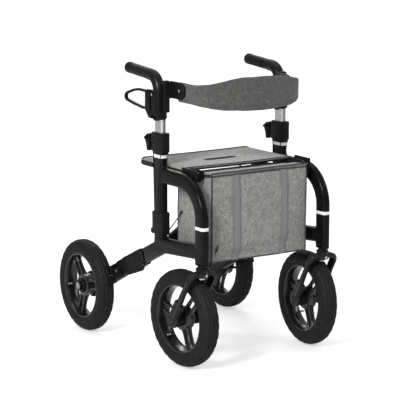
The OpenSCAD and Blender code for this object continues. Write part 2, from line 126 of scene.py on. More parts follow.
def post(w, d, r, z0, z1, edge=2.0, x=0.0, y=0.0, steps=4):
    """Upright bar with a rounded rectangular section and rounded ends."""
    rings = []
    for top in (False, True):
        for k in range(steps + 1):
            a = math.pi / 2 * (k / steps if not top else 1 - k / steps)
            inset = edge * (1 - math.sin(a))
            rise = edge * (1 - math.cos(a))
            z = z1 - rise if top else z0 + rise
            ring = rounded_rect(w - 2 * inset, d - 2 * inset, max(r - inset, 0.3))
            rings.append([(x + p, y + q, z) for p, q in ring])
    return loft(rings)


def sleeve(w, d, r, z0, z1, edge, x, y, wall):
    """Upright open sleeve with a rounded rectangular section and rounded outer ends."""
    steps = 4
    n = len(rounded_rect(w, d, r))
    outer = post(w, d, r, z0, z1, edge, x, y, steps)[0]
    rings = [outer[i * n:(i + 1) * n] for i in range(2 * steps + 2)]
    inner = [(x + p, y + q) for p, q in rounded_rect(w - 2 * wall, d - 2 * wall, max(r - wall, 0.5))]
    columns = [[ring[k] for ring in rings] + [(*inner[k], z1), (*inner[k], z0)] for k in range(n)]
    return loft(columns, closed=True)


def block(lo, hi, edge=2.0):
    """Box between two corners with rounded edges."""
    w, d = hi[0] - lo[0], hi[1] - lo[1]
    edge = min(edge, w / 2.1, d / 2.1, (hi[2] - lo[2]) / 2.1)
    return post(w, d, edge, lo[2], hi[2], edge, (lo[0] + hi[0]) / 2, (lo[1] + hi[1]) / 2)


def frames_along(path, up, closed=False):
    """Position, tangent, side and up vectors at each point, carried along without twist."""
    pts = [Vector(p) for p in path]
    out = []
    high = Vector(up)
    n = len(pts)
    for i, p in enumerate(pts):
        if closed:
            before, after = pts[i - 1], pts[(i + 1) % n]
        else:
            before, after = pts[max(i - 1, 0)], pts[min(i + 1, n - 1)]
        t = (after - before).normalized()
        high = (high - t * high.dot(t)).normalized()
        out.append((p, t, high.cross(t).normalized(), high))
    return out


def sweep(path, sections, up=(1, 0, 0), closed=False):
    """Bar along a path. sections is one outline, or one per point; its u runs along up."""
    rings = []
    for i, (p, _, side, high) in enumerate(frames_along(path, up, closed)):
        outline = sections[i] if isinstance(sections[0][0], (tuple, list)) else sections
        rings.append([p + high * u + side * v for u, v in outline])
    return loft(rings, caps=not closed, closed=closed)


def circle(r, n=24):
    return [(r * math.cos(2 * math.pi * i / n), r * math.sin(2 * math.pi * i / n)) for i in range(n)]


def tube(path, radius, n=20, up=(1, 0, 0), ends=1.0):
    """Round bar along a path, with domed ends. ends is the dome's length as a share of the radius."""
    pts = [Vector(p) for p in path]
    a, b = (pts[0] - pts[1]).normalized(), (pts[-1] - pts[-2]).normalized()
    line, radii = [], []
    for k in range(4):
        t = math.pi / 2 * k / 4
        line.append(pts[0] + a * (radius * ends * math.cos(t)))
        radii.append(max(radius * math.sin(t), 0.02))
    line += pts
    radii += [radius] * len(pts)
    for k in range(3, -1, -1):
        t = math.pi / 2 * k / 4
        line.append(pts[-1] + b * (radius * ends * math.cos(t)))
        radii.append(max(radius * math.sin(t), 0.02))
    return sweep(line, [circle(r, n) for r in radii], up)


def smooth_path(points, step=4.0):
    """Catmull-Rom curve through the points, sampled about every step millimetres."""
    pts = [Vector(p) for p in points]
    pts = [pts[0] * 2 - pts[1]] + pts + [pts[-1] * 2 - pts[-2]]
    out = []
    for i in range(1, len(pts) - 2):
        p0, p1, p2, p3 = pts[i - 1:i + 3]
        count = max(1, int((p2 - p1).length / step))
        for k in range(count):
            t = k / count
            out.append(0.5 * (2 * p1 + (p2 - p0) * t + (2 * p0 - 5 * p1 + 4 * p2 - p3) * t * t
                              + (3 * p1 - p0 - 3 * p2 + p3) * t ** 3))
    return out + [pts[-2]]


def arc(centre, r, start, end, count=10):
    """Points of an arc in the side view, as (x, y, z), angles in degrees from +Y towards +Z."""
    x, y, z = centre
    angles = [math.radians(start + (end - start) * k / count) for k in range(count + 1)]
    return [(x, y + r * math.cos(a), z + r * math.sin(a)) for a in angles]


def plate(outline, x0, x1, edge=2.0, holes=(), res=3):
    """Side-view outline with holes, made solid from x0 to x1, with its edges rounded."""
    curve = bpy.data.curves.new("outline", "CURVE")
    curve.dimensions, curve.fill_mode = "2D", "BOTH"
    for points in [outline, *holes]:
        spline = curve.splines.new("POLY")
        spline.points.add(len(points) - 1)
        for point, (u, v) in zip(spline.points, points):
            point.co = (u, v, 0, 1)
        spline.use_cyclic_u = True
    edge = min(edge, (x1 - x0) / 2 - 0.01)
    curve.extrude, curve.bevel_depth = (x1 - x0) / 2 - edge, edge
    curve.bevel_resolution, curve.offset = res, -edge
    holder = bpy.data.objects.new("outline", curve)
    bpy.context.scene.collection.objects.link(holder)
    mesh = bpy.data.meshes.new_from_object(holder.evaluated_get(bpy.context.evaluated_depsgraph_get()))
    bpy.data.objects.remove(holder)
    bm = bmesh.new()
    bm.from_mesh(mesh)
    bpy.data.meshes.remove(mesh)
    bmesh.ops.remove_doubles(bm, verts=bm.verts, dist=0.01)
    bmesh.ops.recalc_face_normals(bm, faces=bm.faces)
    verts = [((x0 + x1) / 2 + v.co.z, v.co.x, v.co.y) for v in bm.verts]
    faces = [tuple(v.index for v in f.verts) for f in bm.faces]
    bm.free()
    return verts, faces


def moved(part, matrix):
    return [tuple(matrix @ Vector(v)) for v in part[0]], part[1]


def at(part, x, y, z):
    return moved(part, Matrix.Translation((x, y, z)))


# turns a shape made by plate() so that its outline faces the front
TO_FRONT = Matrix(((0, 1, 0, 0), (1, 0, 0, 0), (0, 0, 1, 0), (0, 0, 0, 1)))


def side_arc(u, v, r, start, turn, count):
    """Arc points in a plate outline, from the start angle on by turn, in degrees."""
    angles = [math.radians(start + turn * k / count) for k in range(count + 1)]
    return [(u + r * math.cos(a), v + r * math.sin(a)) for a in angles]


def x_rod(r, x0, x1, y, z, edge=0.6, n=32):
    """Round bar along X with slightly rounded ends."""
    profile = [(x0, 0), (x0, r - edge), (x0 + edge, r), (x1 - edge, r), (x1, r - edge), (x1, 0)]
    return at(lathe(profile, n), 0, y, z)


def screw(x, y, z, r=4.0, out=2.0):
    """Round screw head on an outer side face, with a round socket."""
    top = x + out
    profile = [(x - 1, 0), (x - 1, r), (x + out * 0.5, r), (top, r * 0.75), (top, r * 0.42),
               (top - 1.2, r * 0.4), (top - 1.2, 0)]
    return at(lathe(profile, 24), 0, y, z)


def inner_screw(x, y, z, r, out):
    """The same screw head on an inner side face."""
    turned = Matrix.Translation((x, y, z)) @ Matrix.Rotation(math.pi, 4, "Z")
    return moved(screw(0, 0, 0, r, out), turned)


class Shape:
    """Several solids in one piece, each with its material number."""

    def __init__(self, *parts):
        self.verts, self.faces, self.mats = [], [], []
        for part in parts:
            self.add(part)

    def add(self, part, mat=0):
        base = len(self.verts)
        self.verts += [tuple(v) for v in part[0]]
        self.faces += [tuple(base + i for i in f) for f in part[1]]
        self.mats += [mat] * len(part[1])
        return self

    def move(self, matrix):
        self.verts = [tuple(matrix @ Vector(v)) for v in self.verts]


def build(name, shape, materials, side="left", matrix=None, angle=32, fix=True):
    """Makes the object, in metres. The right side is the mirror image of the left."""
    if isinstance(shape, tuple):
        shape = Shape(shape)
    verts = np.array(shape.verts, float)
    if matrix is not None:
        m = np.array(matrix, float)
        verts = verts @ m[:3, :3].T + m[:3, 3]
    faces = shape.faces
    if side == "right":
        verts = verts * np.array((-1, 1, 1))
        faces = [tuple(reversed(f)) for f in faces]
    mesh = bpy.data.meshes.new(name)
    mesh.from_pydata((verts * MM).tolist(), [], faces)
    for m in materials if isinstance(materials, (list, tuple)) else [materials]:
        mesh.materials.append(m)
    mesh.polygons.foreach_set("material_index", np.array(shape.mats, np.int32))
    if fix:
        bm = bmesh.new()
        bm.from_mesh(mesh)
        bmesh.ops.recalc_face_normals(bm, faces=bm.faces)
        bm.to_mesh(mesh)
        bm.free()
    mesh.polygons.foreach_set("use_smooth", np.ones(len(mesh.polygons), bool))
    mesh.set_sharp_from_angle(angle=math.radians(angle))
    obj = bpy.data.objects.new(name, mesh)
    bpy.context.scene.collection.objects.link(obj)
    return obj


def attach(obj, body, replaces=()):
    """Rides on the body and stands for the CAD nodes, which it hides."""
    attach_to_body(obj, body)
    if replaces:
        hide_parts(*replaces)
    return obj


def side_piece(name, shape, materials, side, body, angle=32):
    """Builds one side's piece and attaches it to that side's body, in place of its CAD node."""
    obj = build(f"{name}_{side}", shape, materials, side, angle=angle)
    return attach(obj, f"{side}_{body}", [f"{side}_{name}"])


# ---------- materials ----------

def shader_tree(name):
    mat = bpy.data.materials.new(name)
    mat.use_nodes = True
    return mat, mat.node_tree, mat.node_tree.nodes["Principled BSDF"]


def node(tree, kind, **settings):
    made = tree.nodes.new(kind)
    for key, value in settings.items():
        if key.startswith("in_"):
            made.inputs[key[3:].replace("_", " ")].default_value = value
        else:
            setattr(made, key, value)
    return made


def noise_field(tree, scale, stretch=(1, 1, 1), detail=3.0, rough=0.55):
    """Noise in the piece's own space, in features per metre."""
    coords = node(tree, "ShaderNodeTexCoord")
    mapping = node(tree, "ShaderNodeMapping")
    mapping.inputs["Scale"].default_value = stretch
    field = node(tree, "ShaderNodeTexNoise", in_Scale=scale, in_Detail=detail, in_Roughness=rough)
    tree.links.new(coords.outputs["Object"], mapping.inputs["Vector"])
    tree.links.new(mapping.outputs["Vector"], field.inputs["Vector"])
    return field.outputs["Fac"]


def ramp(tree, value, stops):
    """Colour ramp through (position, grey or colour) stops."""
    made = node(tree, "ShaderNodeValToRGB")
    elements = made.color_ramp.elements
    while len(elements) < len(stops):
        elements.new(0.5)
    for element, (pos, col) in zip(elements, stops):
        element.position = pos
        element.color = (*((col,) * 3 if isinstance(col, (int, float)) else col), 1)
    tree.links.new(value, made.inputs["Fac"])
    return made.outputs["Color"]


def mix(tree, a, b, share, mode="MIX"):
    """Mixes two colours or sockets. A plain number as a or b is a grey."""
    made = node(tree, "ShaderNodeMix", data_type="RGBA", blend_type=mode)
    for socket, value in ((made.inputs[0], share), (made.inputs[6], a), (made.inputs[7], b)):
        if isinstance(value, bpy.types.NodeSocket):
            tree.links.new(value, socket)
        elif socket == made.inputs[0]:
            socket.default_value = value
        else:
            socket.default_value = (*((value,) * 3 if isinstance(value, (int, float)) else value), 1)
    return made.outputs[2]


def bump(tree, height, strength, distance, normal=None):
    made = node(tree, "ShaderNodeBump", in_Strength=strength, in_Distance=distance)
    tree.links.new(height, made.inputs["Height"])
    if normal is not None:
        tree.links.new(normal, made.inputs["Normal"])
    return made.outputs["Normal"]


def edge_highlight_and_wear(tree):
    """0 on flat parts and more on convex edges: the mask of the lighter edges, partly rub wear and partly
    painted highlight.
    """
    geometry = node(tree, "ShaderNodeNewGeometry")
    return ramp(tree, geometry.outputs["Pointiness"], [(0.50, 0.0), (0.56, 1.0)])


def hard(name, dark, light, rough, grain, grain_bump, metallic=0.0, coat=0.0, edge=None, blotch=14.0,
         specular=0.5):
    """Painted metal or moulded plastic: two close tones, fine grain in the bump, and lighter convex edges
    that are partly rub wear and partly painted highlight.
    """
    mat, tree, bsdf = shader_tree(name)
    tone = ramp(tree, noise_field(tree, blotch), [(0.35, dark), (0.65, light)])
    if edge is not None:
        # lighter colour on convex edges: painted highlight along the edges, partly rub wear
        tone = mix(tree, tone, edge, edge_highlight_and_wear(tree))
    fine = noise_field(tree, grain, detail=2.0)
    tree.links.new(tone, bsdf.inputs["Base Color"])
    spread = ramp(tree, noise_field(tree, grain * 0.12), [(0.3, rough - 0.05), (0.7, rough + 0.07)])
    tree.links.new(spread, bsdf.inputs["Roughness"])
    tree.links.new(bump(tree, fine, grain_bump, 0.0004), bsdf.inputs["Normal"])
    bsdf.inputs["Metallic"].default_value = metallic
    bsdf.inputs["Specular IOR Level"].default_value = specular
    bsdf.inputs["Coat Weight"].default_value = coat
    bsdf.inputs["Coat Roughness"].default_value = 0.25
    return mat


def heather(name, dark, mid, light, speck=420.0, rough=0.92):
    """Grey melange cloth: light and dark threads that run both ways, with a woven bump."""
    mat, tree, bsdf = shader_tree(name)
    across = noise_field(tree, speck, (0.42, 0.42, 1.9), detail=2.5, rough=0.7)
    upright = noise_field(tree, speck, (1.9, 1.9, 0.38), detail=2.5, rough=0.7)
    soft = noise_field(tree, speck * 0.16, detail=4.0)
    threads = mix(tree, across, upright, 0.5)
    tone = ramp(tree, threads, [(0.38, dark), (0.46, mid), (0.54, mid), (0.63, light)])
    cloud = ramp(tree, soft, [(0.3, 0.74), (0.7, 1.14)])
    tree.links.new(mix(tree, tone, cloud, 1.0, "MULTIPLY"), bsdf.inputs["Base Color"])
    weave = node(tree, "ShaderNodeTexVoronoi", in_Scale=speck * 2.4, in_Randomness=0.35)
    coords = node(tree, "ShaderNodeTexCoord")
    tree.links.new(coords.outputs["Object"], weave.inputs["Vector"])
    first = bump(tree, weave.outputs["Distance"], 0.35, 0.0006)
    tree.links.new(bump(tree, threads, 0.4, 0.0008, first), bsdf.inputs["Normal"])
    bsdf.inputs["Roughness"].default_value = rough
    bsdf.inputs["Sheen Weight"].default_value = 0.25
    bsdf.inputs["Sheen Roughness"].default_value = 0.5
    return mat


def webbing(name, dark, light):
    """Woven strap: ribs across, slightly uneven threads."""
    mat, tree, bsdf = shader_tree(name)
    coords = node(tree, "ShaderNodeTexCoord")
    ribs = node(tree, "ShaderNodeTexWave", bands_direction="DIAGONAL", in_Scale=260.0, in_Distortion=1.2)
    tree.links.new(coords.outputs["Object"], ribs.inputs["Vector"])
    uneven = noise_field(tree, 500.0)
    tone = mix(tree, ramp(tree, ribs.outputs["Fac"], [(0.2, dark), (0.8, light)]), uneven, 0.25, "OVERLAY")
    tree.links.new(tone, bsdf.inputs["Base Color"])
    tree.links.new(bump(tree, ribs.outputs["Fac"], 0.5, 0.0006), bsdf.inputs["Normal"])
    bsdf.inputs["Roughness"].default_value = 0.85
    return mat


def metal(name, tone, rough, stretch=(1, 1, 30)):
    """Brushed metal: fine lines along one way in colour, roughness and bump."""
    mat, tree, bsdf = shader_tree(name)
    lines = noise_field(tree, 90.0, stretch, detail=4.0)
    tree.links.new(ramp(tree, lines, [(0.3, tone * 0.86), (0.7, tone)]), bsdf.inputs["Base Color"])
    tree.links.new(ramp(tree, lines, [(0.3, rough - 0.06), (0.7, rough + 0.08)]), bsdf.inputs["Roughness"])
    tree.links.new(bump(tree, lines, 0.12, 0.0002), bsdf.inputs["Normal"])
    bsdf.inputs["Metallic"].default_value = 1.0
    return mat


# the edge colours below lighten convex edges: painted highlight along the edges, partly rub wear
PAINT = hard("frame_paint", (0.0035, 0.0036, 0.0038), (0.0055, 0.0057, 0.0060), 0.25, 2600, 0.10, coat=0.05,
             edge=(0.024, 0.025, 0.026), specular=0.11)
FORK_PAINT = hard("fork_paint", (0.0034, 0.0034, 0.0036), (0.0055, 0.0055, 0.0058), 0.22, 2400, 0.10,
                  coat=0.08, edge=(0.02, 0.02, 0.021), specular=0.14)
PLASTIC = hard("moulded_plastic", (0.0034, 0.0034, 0.0036), (0.0058, 0.0058, 0.0060), 0.36, 3200, 0.35,
               edge=(0.012, 0.012, 0.013), specular=0.12)
GRIP = hard("grip_rubber", (0.005, 0.005, 0.005), (0.008, 0.008, 0.008), 0.46, 2200, 0.5, specular=0.22)
HANDLE = hard("handle_paint", (0.0050, 0.0050, 0.0052), (0.0075, 0.0075, 0.0078), 0.34, 2600, 0.15, coat=0.05,
              specular=0.22)
RIM = hard("rim_black", (0.0040, 0.0040, 0.0043), (0.0065, 0.0065, 0.0070), 0.17, 2800, 0.10, coat=0.4,
           edge=(0.012, 0.012, 0.013), specular=0.42)
RUBBER = hard("tyre_rubber", (0.0048, 0.0048, 0.0048), (0.0100, 0.0100, 0.0098), 0.62, 1500, 0.45, blotch=40,
              specular=0.24)
SILVER = metal("silver_tube", 0.86, 0.30, (60, 60, 1))
STEEL = metal("plated_steel", 0.62, 0.28, (30, 1, 1))
BRASS = metal("valve_brass", 0.45, 0.3)
BLACK_STEEL = metal("blackened_steel", 0.09, 0.34, (30, 1, 1))
REFLECTIVE = hard("reflective_white", (0.80, 0.81, 0.82), (0.90, 0.91, 0.92), 0.42, 3000, 0.3)
BADGE = hard("cap_badge", (0.22, 0.22, 0.23), (0.34, 0.34, 0.35), 0.35, 2500, 0.2, metallic=0.4)
SEAT_CLOTH = heather("seat_cloth", (0.12, 0.123, 0.115), (0.27, 0.275, 0.262), (0.46, 0.465, 0.445), 400)
BAG_CLOTH = heather("bag_cloth", (0.060, 0.062, 0.058), (0.250, 0.254, 0.243), (0.60, 0.607, 0.582), 420)
BAND_CLOTH = heather("band_cloth", (0.024, 0.025, 0.024), (0.074, 0.076, 0.072), (0.22, 0.224, 0.214), 440)
PIPING = hard("piping_cloth", (0.030, 0.031, 0.030), (0.10, 0.102, 0.10), 0.85, 1800, 0.6, blotch=420,
              specular=0.2)
STRAP_GREY = webbing("webbing_grey", (0.17, 0.175, 0.17), (0.27, 0.275, 0.27))
STRAP_BLACK = webbing("webbing_black", (0.004, 0.004, 0.004), (0.012, 0.012, 0.012))
LINING = hard("bag_lining", (0.015, 0.015, 0.016), (0.028, 0.028, 0.030), 0.8, 1600, 0.5, blotch=120,
              specular=0.2)
THREAD = hard("thread", (0.08, 0.08, 0.08), (0.14, 0.14, 0.14), 0.8, 3000, 0.5, blotch=400)


# ---------- one side of the walker ----------

SIDE_X = 224
FRAME_IN, FRAME_OUT = 211, 237
UPRIGHT_Y, FRONT_Y = -121, -350
LEG_TURN = math.radians(-25.5)
LEG_TOP = (0, UPRIGHT_Y, 340.63)
HANDLE_X, HANDLE_Y = 225, -115
GRIP_TURN = math.radians(4.5)
GRIP_START = (HANDLE_X, -70.77, 869.85)
BRAKE_PIVOT, CLAMP_PIVOT, LEVER_PIVOT = (100, 225), (-65, 680), (-80, 790)
WHEEL_R, TYRE_W = 150, 56
RING_R, BEAD_R, RIM_IN_R = 122, 114, 96
RAIL_X, RAIL_Z = 194, 585
ARM_PIVOT_Z, CROSS_Z = 347, 466
# rear face of each cross arm: arm a pivots on the right side, arm b on the left
ARM_Y = {"a": -92.5, "b": -67.5}
REAR_X, REAR_Y, TRAIL = 273, 264, 86
CASTER = Matrix.Translation((SIDE_X, FRONT_Y, 0)) @ Matrix.Rotation(math.radians(-5), 4, "Z")
BAND_Z = 829


def along_leg(s, h):
    """Side-view point at s down the rear leg and h above its centre line."""
    c, n = math.cos(LEG_TURN), math.sin(LEG_TURN)
    return (LEG_TOP[1] + s * c - h * n, LEG_TOP[2] + s * n + h * c)


def leg_outline(s0, s1, low, high, r):
    return fillet([(*along_leg(s0, low), r), (*along_leg(s1, low), r), (*along_leg(s1, high), r),
                   (*along_leg(s0, high), r)])


def frame_side(side):
    """Flattened frame tube: upright, top rail with its front bend, front tube and lower rail."""
    outline = fillet([(-97, 640, .5), (-145, 640, .5), (-145, 591, 10), (-373, 591, 131),
                      (-373, 325, 5), (-327, 325, 5), (-327, 342.9, 4), (-148.8, 327.3, 30),
                      (-44.7, 277.6, 1), (-24, 320.96, 1), (-97, 355.8, 14)], 12)
    window = fillet([(-145, 545, 9), (-327, 545, 85), (-327, 389.1, 9), (-145, 373.2, 9)], 12)
    body = Shape(plate(outline, FRAME_IN, FRAME_OUT, 8.5, [window], res=4))
    # weld beads where the rails meet the upright
    for y, z0, z1 in ((-145, 549, 587), (-145, 378, 394)):
        for x in (FRAME_IN + 1.2, FRAME_OUT - 1.2):
            bead = smooth_path([(x, y - 1, z0), (x, y - 1.6, (z0 + z1) / 2), (x, y - 1, z1)], 6)
            body.add(tube(bead, 1.7, 10, (0, 1, 0)))
    side_piece("frame", body, PAINT, side, "side", 40)

    arm_y = ARM_Y["a" if side == "right" else "b"]
    bracket = Shape(block((FRAME_IN - 4.5, arm_y - 34, 329), (FRAME_IN + 1, arm_y + 10, 359), 2))
    for y in (arm_y + 0.3, arm_y - 29.3):
        outline = side_arc(RAIL_X, ARM_PIVOT_Z, 10, 90, 180, 12)
        outline += [(FRAME_IN - 2, ARM_PIVOT_Z - 10), (FRAME_IN - 2, ARM_PIVOT_Z + 10)]
        cheek = Matrix.Translation((0, y + 2.5, 0)) @ TO_FRONT
        bracket.add(moved(plate(outline, -2.5, 2.5, 0.8), cheek))
    lay = Matrix.Translation((RAIL_X, arm_y, ARM_PIVOT_Z)) @ Matrix.Rotation(math.radians(90), 4, "Z")
    pin = moved(x_rod(5, -29.5 - 2.4, 5.5 + 2.2, 0, 0), lay)
    bracket.add(pin, 1)
    for dz in (-11, 11):
        bracket.add(inner_screw(FRAME_IN - 4.4, arm_y - 12, 344 + dz, 3.2, 1.6), 1)
    attach(build(f"arm_bracket_{side}", bracket, [PAINT, STEEL], side), f"{side}_side")


def leg_side(side):
    """Rear leg, and the moulded casing round its joint with the cable guide below."""
    leg = fillet([(-24, 321, 1), (281, 175.5, 14), (290, 150, 20), (278, 124, 18), (247, 126, 18),
                  (-44.7, 277.6, 1)], 10)
    body = Shape(plate(leg, FRAME_IN, FRAME_OUT, 8.5, res=4))
    body.add(at(lathe([(-1.2, 0), (-1.2, 12), (1.8, 12), (3.2, 10.5), (3.2, 0)], 40),
                FRAME_OUT - 1, REAR_Y, WHEEL_R))
    side_piece("rear_leg", body, PAINT, side, "side", 40)

    casing = Shape(plate(leg_outline(100, 234, -27, 26, 9), 207, 241, 5))
    casing.add(plate(leg_outline(228, 270, -26, 25, 8), 209, 239, 4.5))
    guide = fillet([(-30, 285, 3), (-16, 260, 8), (-2, 242, 10), (47, 224, 14), (100, 207, 6), (112, 225, 8)])
    casing.add(plate(guide, 213, 235, 4.5))
    # split line, ribs and the plugs of the casing
    for s in (133, 201):
        casing.add(plate(leg_outline(s - 1.2, s + 1.2, -27.2, 26.2, 1), 206.9, 241.2, 0.8))
    for s in (117, 217, 252):
        y, z = along_leg(s, 1 if s < 240 else 0)
        casing.add(screw(241 if s < 240 else 239, y, z, 4.4, 1.2))
    for k in range(4):
        casing.add(plate(leg_outline(152 + 11 * k, 156 + 11 * k, -17, 17, 2), 206.6, 241.6, 1.2))
    y0, z0 = along_leg(120, -27)
    cable = [(y0, z0 + 3), (-12, 262), (0, 247), (46, 229), (96, 212)]
    casing.add(tube(smooth_path([(SIDE_X, y, z) for y, z in cable], 6), 5.2, 16))
    casing.add(x_rod(5, 236, 261, *BRAKE_PIVOT, edge=1))
    side_piece("leg_casing", casing, PLASTIC, side, "side")


def collars_side(side):
    """Height clamp collar at the top of the upright, the lower collar and the reflective bands."""
    top = Shape(post(34, 62, 9, 639, 698, 3, SIDE_X, UPRIGHT_Y, 5))
    top.add(post(31.5, 55, 9, 632, 643, 1.5, SIDE_X, UPRIGHT_Y))
    top.add(post(35.2, 63.2, 9.5, 688, 692, 1.4, SIDE_X, UPRIGHT_Y))
    ear = fillet([(-96, 670, 2), (-70, 671, 3), (-57, 676, 5), (-58, 688, 6), (-72, 690, 4), (-96, 690, 2)])
    top.add(plate(ear, 219, 229, 1.4))
    top.add(x_rod(3, 212.2, 235.8, *CLAMP_PIVOT, edge=0.8), 1)
    top.add(at(lathe([(0, 3.0), (0, 5.6), (1.4, 5.2), (1.4, 3.4)], 28), 240.6, -100, 665))
    top.add(at(lathe([(-4, 0), (-4, 3.2), (0.5, 3.2), (0.5, 3.0), (-3, 2.8), (-3, 0)], 24),
               240.4, -100, 665), 2)
    side_piece("height_collar", top, [PLASTIC, STEEL, RIM], side, "side")

    low = Shape(sleeve(34, 58, 8, 384, 453, 3, SIDE_X, UPRIGHT_Y, 4))
    low.add(sleeve(35.4, 59.4, 8.6, 441, 447, 1.6, SIDE_X, UPRIGHT_Y, 4))
    low.add(sleeve(35.4, 59.4, 8.6, 390, 394, 1.4, SIDE_X, UPRIGHT_Y, 4))
    low.add(x_rod(10, 209, 239, -93, 391, edge=2.5))
    low.add(screw(239, -93, 391, 4.2, 1))
    low.add(screw(241, -121, 430, 4.2, 1.2))
    side_piece("lower_collar", low, PLASTIC, side, "side")

    bands = Shape(post(27, 49, 9, 621, 631, 0.25, SIDE_X, UPRIGHT_Y))
    bands.add(post(27, 47, 9, 435, 445, 0.25, SIDE_X, FRONT_Y))
    side_piece("reflectors", bands, REFLECTIVE, side, "side")


def z_turn(profile, x, y, n=48):
    """Turned shape about an upright axis, from (z, r) points."""
    upright = Matrix.Translation((x, y, 0)) @ Matrix.Rotation(math.radians(-90), 4, "Y")
    return moved(lathe(profile, n), upright)


def handle_side(side):
    """Telescoping tube, bent handle tube, grip and the brake housing."""
    groove = 2.2
    half_w, half_d, r = 10, 21, 8
    section = list(rounded_rect(2 * half_w, 2 * half_d, r, 6))
    # the front edge carries a guide groove
    cut = [(-groove, -half_d), (-groove, -half_d + 2.4), (groove, -half_d + 2.4), (groove, -half_d)]
    lowest = [i for i, p in enumerate(section) if p[1] < -half_d + 0.01]
    first, last = lowest[0], lowest[-1]
    if section[first][0] >= section[last][0]:
        cut.reverse()
    section = section[:first + 1] + cut + section[last:]
    rings = [[(SIDE_X + x, UPRIGHT_Y + y, z) for x, y in section] for z in (465, 738)]
    inner = Shape(loft(rings))
    # a dark strip fills the guide groove to just under its mouth: painted shade of the groove, seen as a dark
    # line
    inner.add(block((SIDE_X - 2.2, UPRIGHT_Y - 20.9, 465.5), (SIDE_X + 2.2, UPRIGHT_Y - 18.4, 737.5), 0.2), 1)
    for k in range(8):
        inner.add(x_rod(2.6, SIDE_X + 9.6, SIDE_X + 10.06, UPRIGHT_Y, 520 + 25 * k, 0.1), 1)
    side_piece("inner_tube", inner, [SILVER, PLASTIC], side, "handle", 25)

    path = [(HANDLE_X, HANDLE_Y, 738 + 21 * k) for k in range(4)]
    path += arc((HANDLE_X, -67, 822), 48, 180, 94.5, 16)
    c, s = math.cos(GRIP_TURN), math.sin(GRIP_TURN)
    path += [(HANDLE_X, GRIP_START[1] + c * t, GRIP_START[2] + s * t) for t in (6, 10.4)]
    bar = Shape(sweep(path, circle(18, 40)))
    along = Matrix.Translation(GRIP_START) @ Matrix(((0, 0, 1, 0), (c, -s, 0, 0), (s, c, 0, 0), (0, 0, 0, 1)))
    bar.add(moved(lathe([(-0.5, 14), (-0.5, 18.5), (3.2, 18.5), (4, 17.6), (4, 14)], 48), along
                  @ Matrix.Translation((5.2, 0, 0))))
    side_piece("handle_tube", bar, HANDLE, side, "handle", 40)

    # round grip with a faint swell, a flange at each end and a rounded tip
    profile = [(11.2, 0), (11.2, 14), (11.6, 16.2), (13, 17.4), (17, 17.5), (18, 17.0), (20, 16.9)]
    for k in range(31):
        t = k / 30
        profile.append((21 + 88 * t, 16.9 + 0.5 * math.sin(math.pi * t) ** 2))
    profile += [(111, 17.0), (112, 17.5), (127, 17.5)]
    round_tip = [math.pi / 2 * k / 8 for k in range(9)]
    profile += [(128 + 8 * math.sin(a), 9.5 + 8 * math.cos(a)) for a in round_tip]
    profile += [(136, 4), (135.4, 0)]
    grip = Shape(moved(lathe(profile, 64), along))
    # fine ribs along one side
    rib_turn = [math.radians(-62 + 124 * i / 12) for i in range(13)]
    for k in range(26):
        t = 27 + 3.1 * k
        points = [along @ Vector((t, -16.9 * math.sin(a), -16.9 * math.cos(a))) for a in rib_turn]
        grip.add(tube(points, 0.85, 6, (0, c, s)))
    grip.add(moved(lathe([(135.2, 0), (135.2, 5.2), (136.0, 4.8), (136.0, 0)], 24), along))
    side_piece("grip", grip, GRIP, side, "handle", 40)

    slot_w = 12.8
    housing = Shape()
    back = fillet([(-96, 742, 1), (-84, 739, 3), (-62, 763, 6), (-62, 821, 4), (-72, 826, 4), (-96, 826, 1)])
    front = fillet([(-136, 738, 4), (-90, 738, 1), (-90, 826, 1), (-128, 826, 6), (-136, 818, 6)])
    housing.add(plate(front, 206.5, 244.5, 9, res=4))
    for x0, x1 in ((206.5, HANDLE_X - slot_w / 2), (HANDLE_X + slot_w / 2, 244.5)):
        housing.add(plate(back, x0, x1, 3))
    housing.add(x_rod(4, 211, 239, *LEVER_PIVOT, edge=0.8), 1)
    housing.add(z_turn([(734.5, 14), (734.5, 16.5), (738, 18.4), (739, 18.4), (739, 14)], HANDLE_X, HANDLE_Y))
    housing.add(screw(244.5, -103, 813, 4.4, 1.4), 1)
    housing.add(screw(244.5, -103, 752, 4.4, 1.2), 0)
    for k in range(5):
        z = 768 + 7 * k
        housing.add(block((243.4, -126, z), (245.0, -106, z + 3), 0.7))
    side_piece("brake_housing", housing, [PLASTIC, STEEL], side, "handle")

    tip = -190
    outline = side_arc(tip, BAND_Z, 26, 90, 180, 28)
    outline += [(-138, BAND_Z - 26), (-138, BAND_Z + 26)]
    holder = Shape(plate(outline, 192.5, 200.5, 2.4))
    dish = side_arc(tip, BAND_Z, 20, 90, 180, 24)
    dish += [(-156, BAND_Z - 20), (-156, BAND_Z + 20)]
    holder.add(plate(dish, 199, 201.6, 1))
    holder.add(block((198, -150, BAND_Z - 26), (212, -138, BAND_Z + 26), 3))
    arm = fillet([(-150, 760, 5), (-136.2, 760, 2), (-136.2, 858, 4), (-150, 858, 6)])
    holder.add(plate(arm, 207, 228, 4))
    holder.add(screw(201.6, tip, BAND_Z + 1, 5, 1.4), 1)
    holder.add(screw(228, -143, 847, 3.4, 1))
    holder.add(screw(228, -143, 771, 3.4, 1))
    side_piece("backrest_plate", holder, [PLASTIC, STEEL], side, "handle")


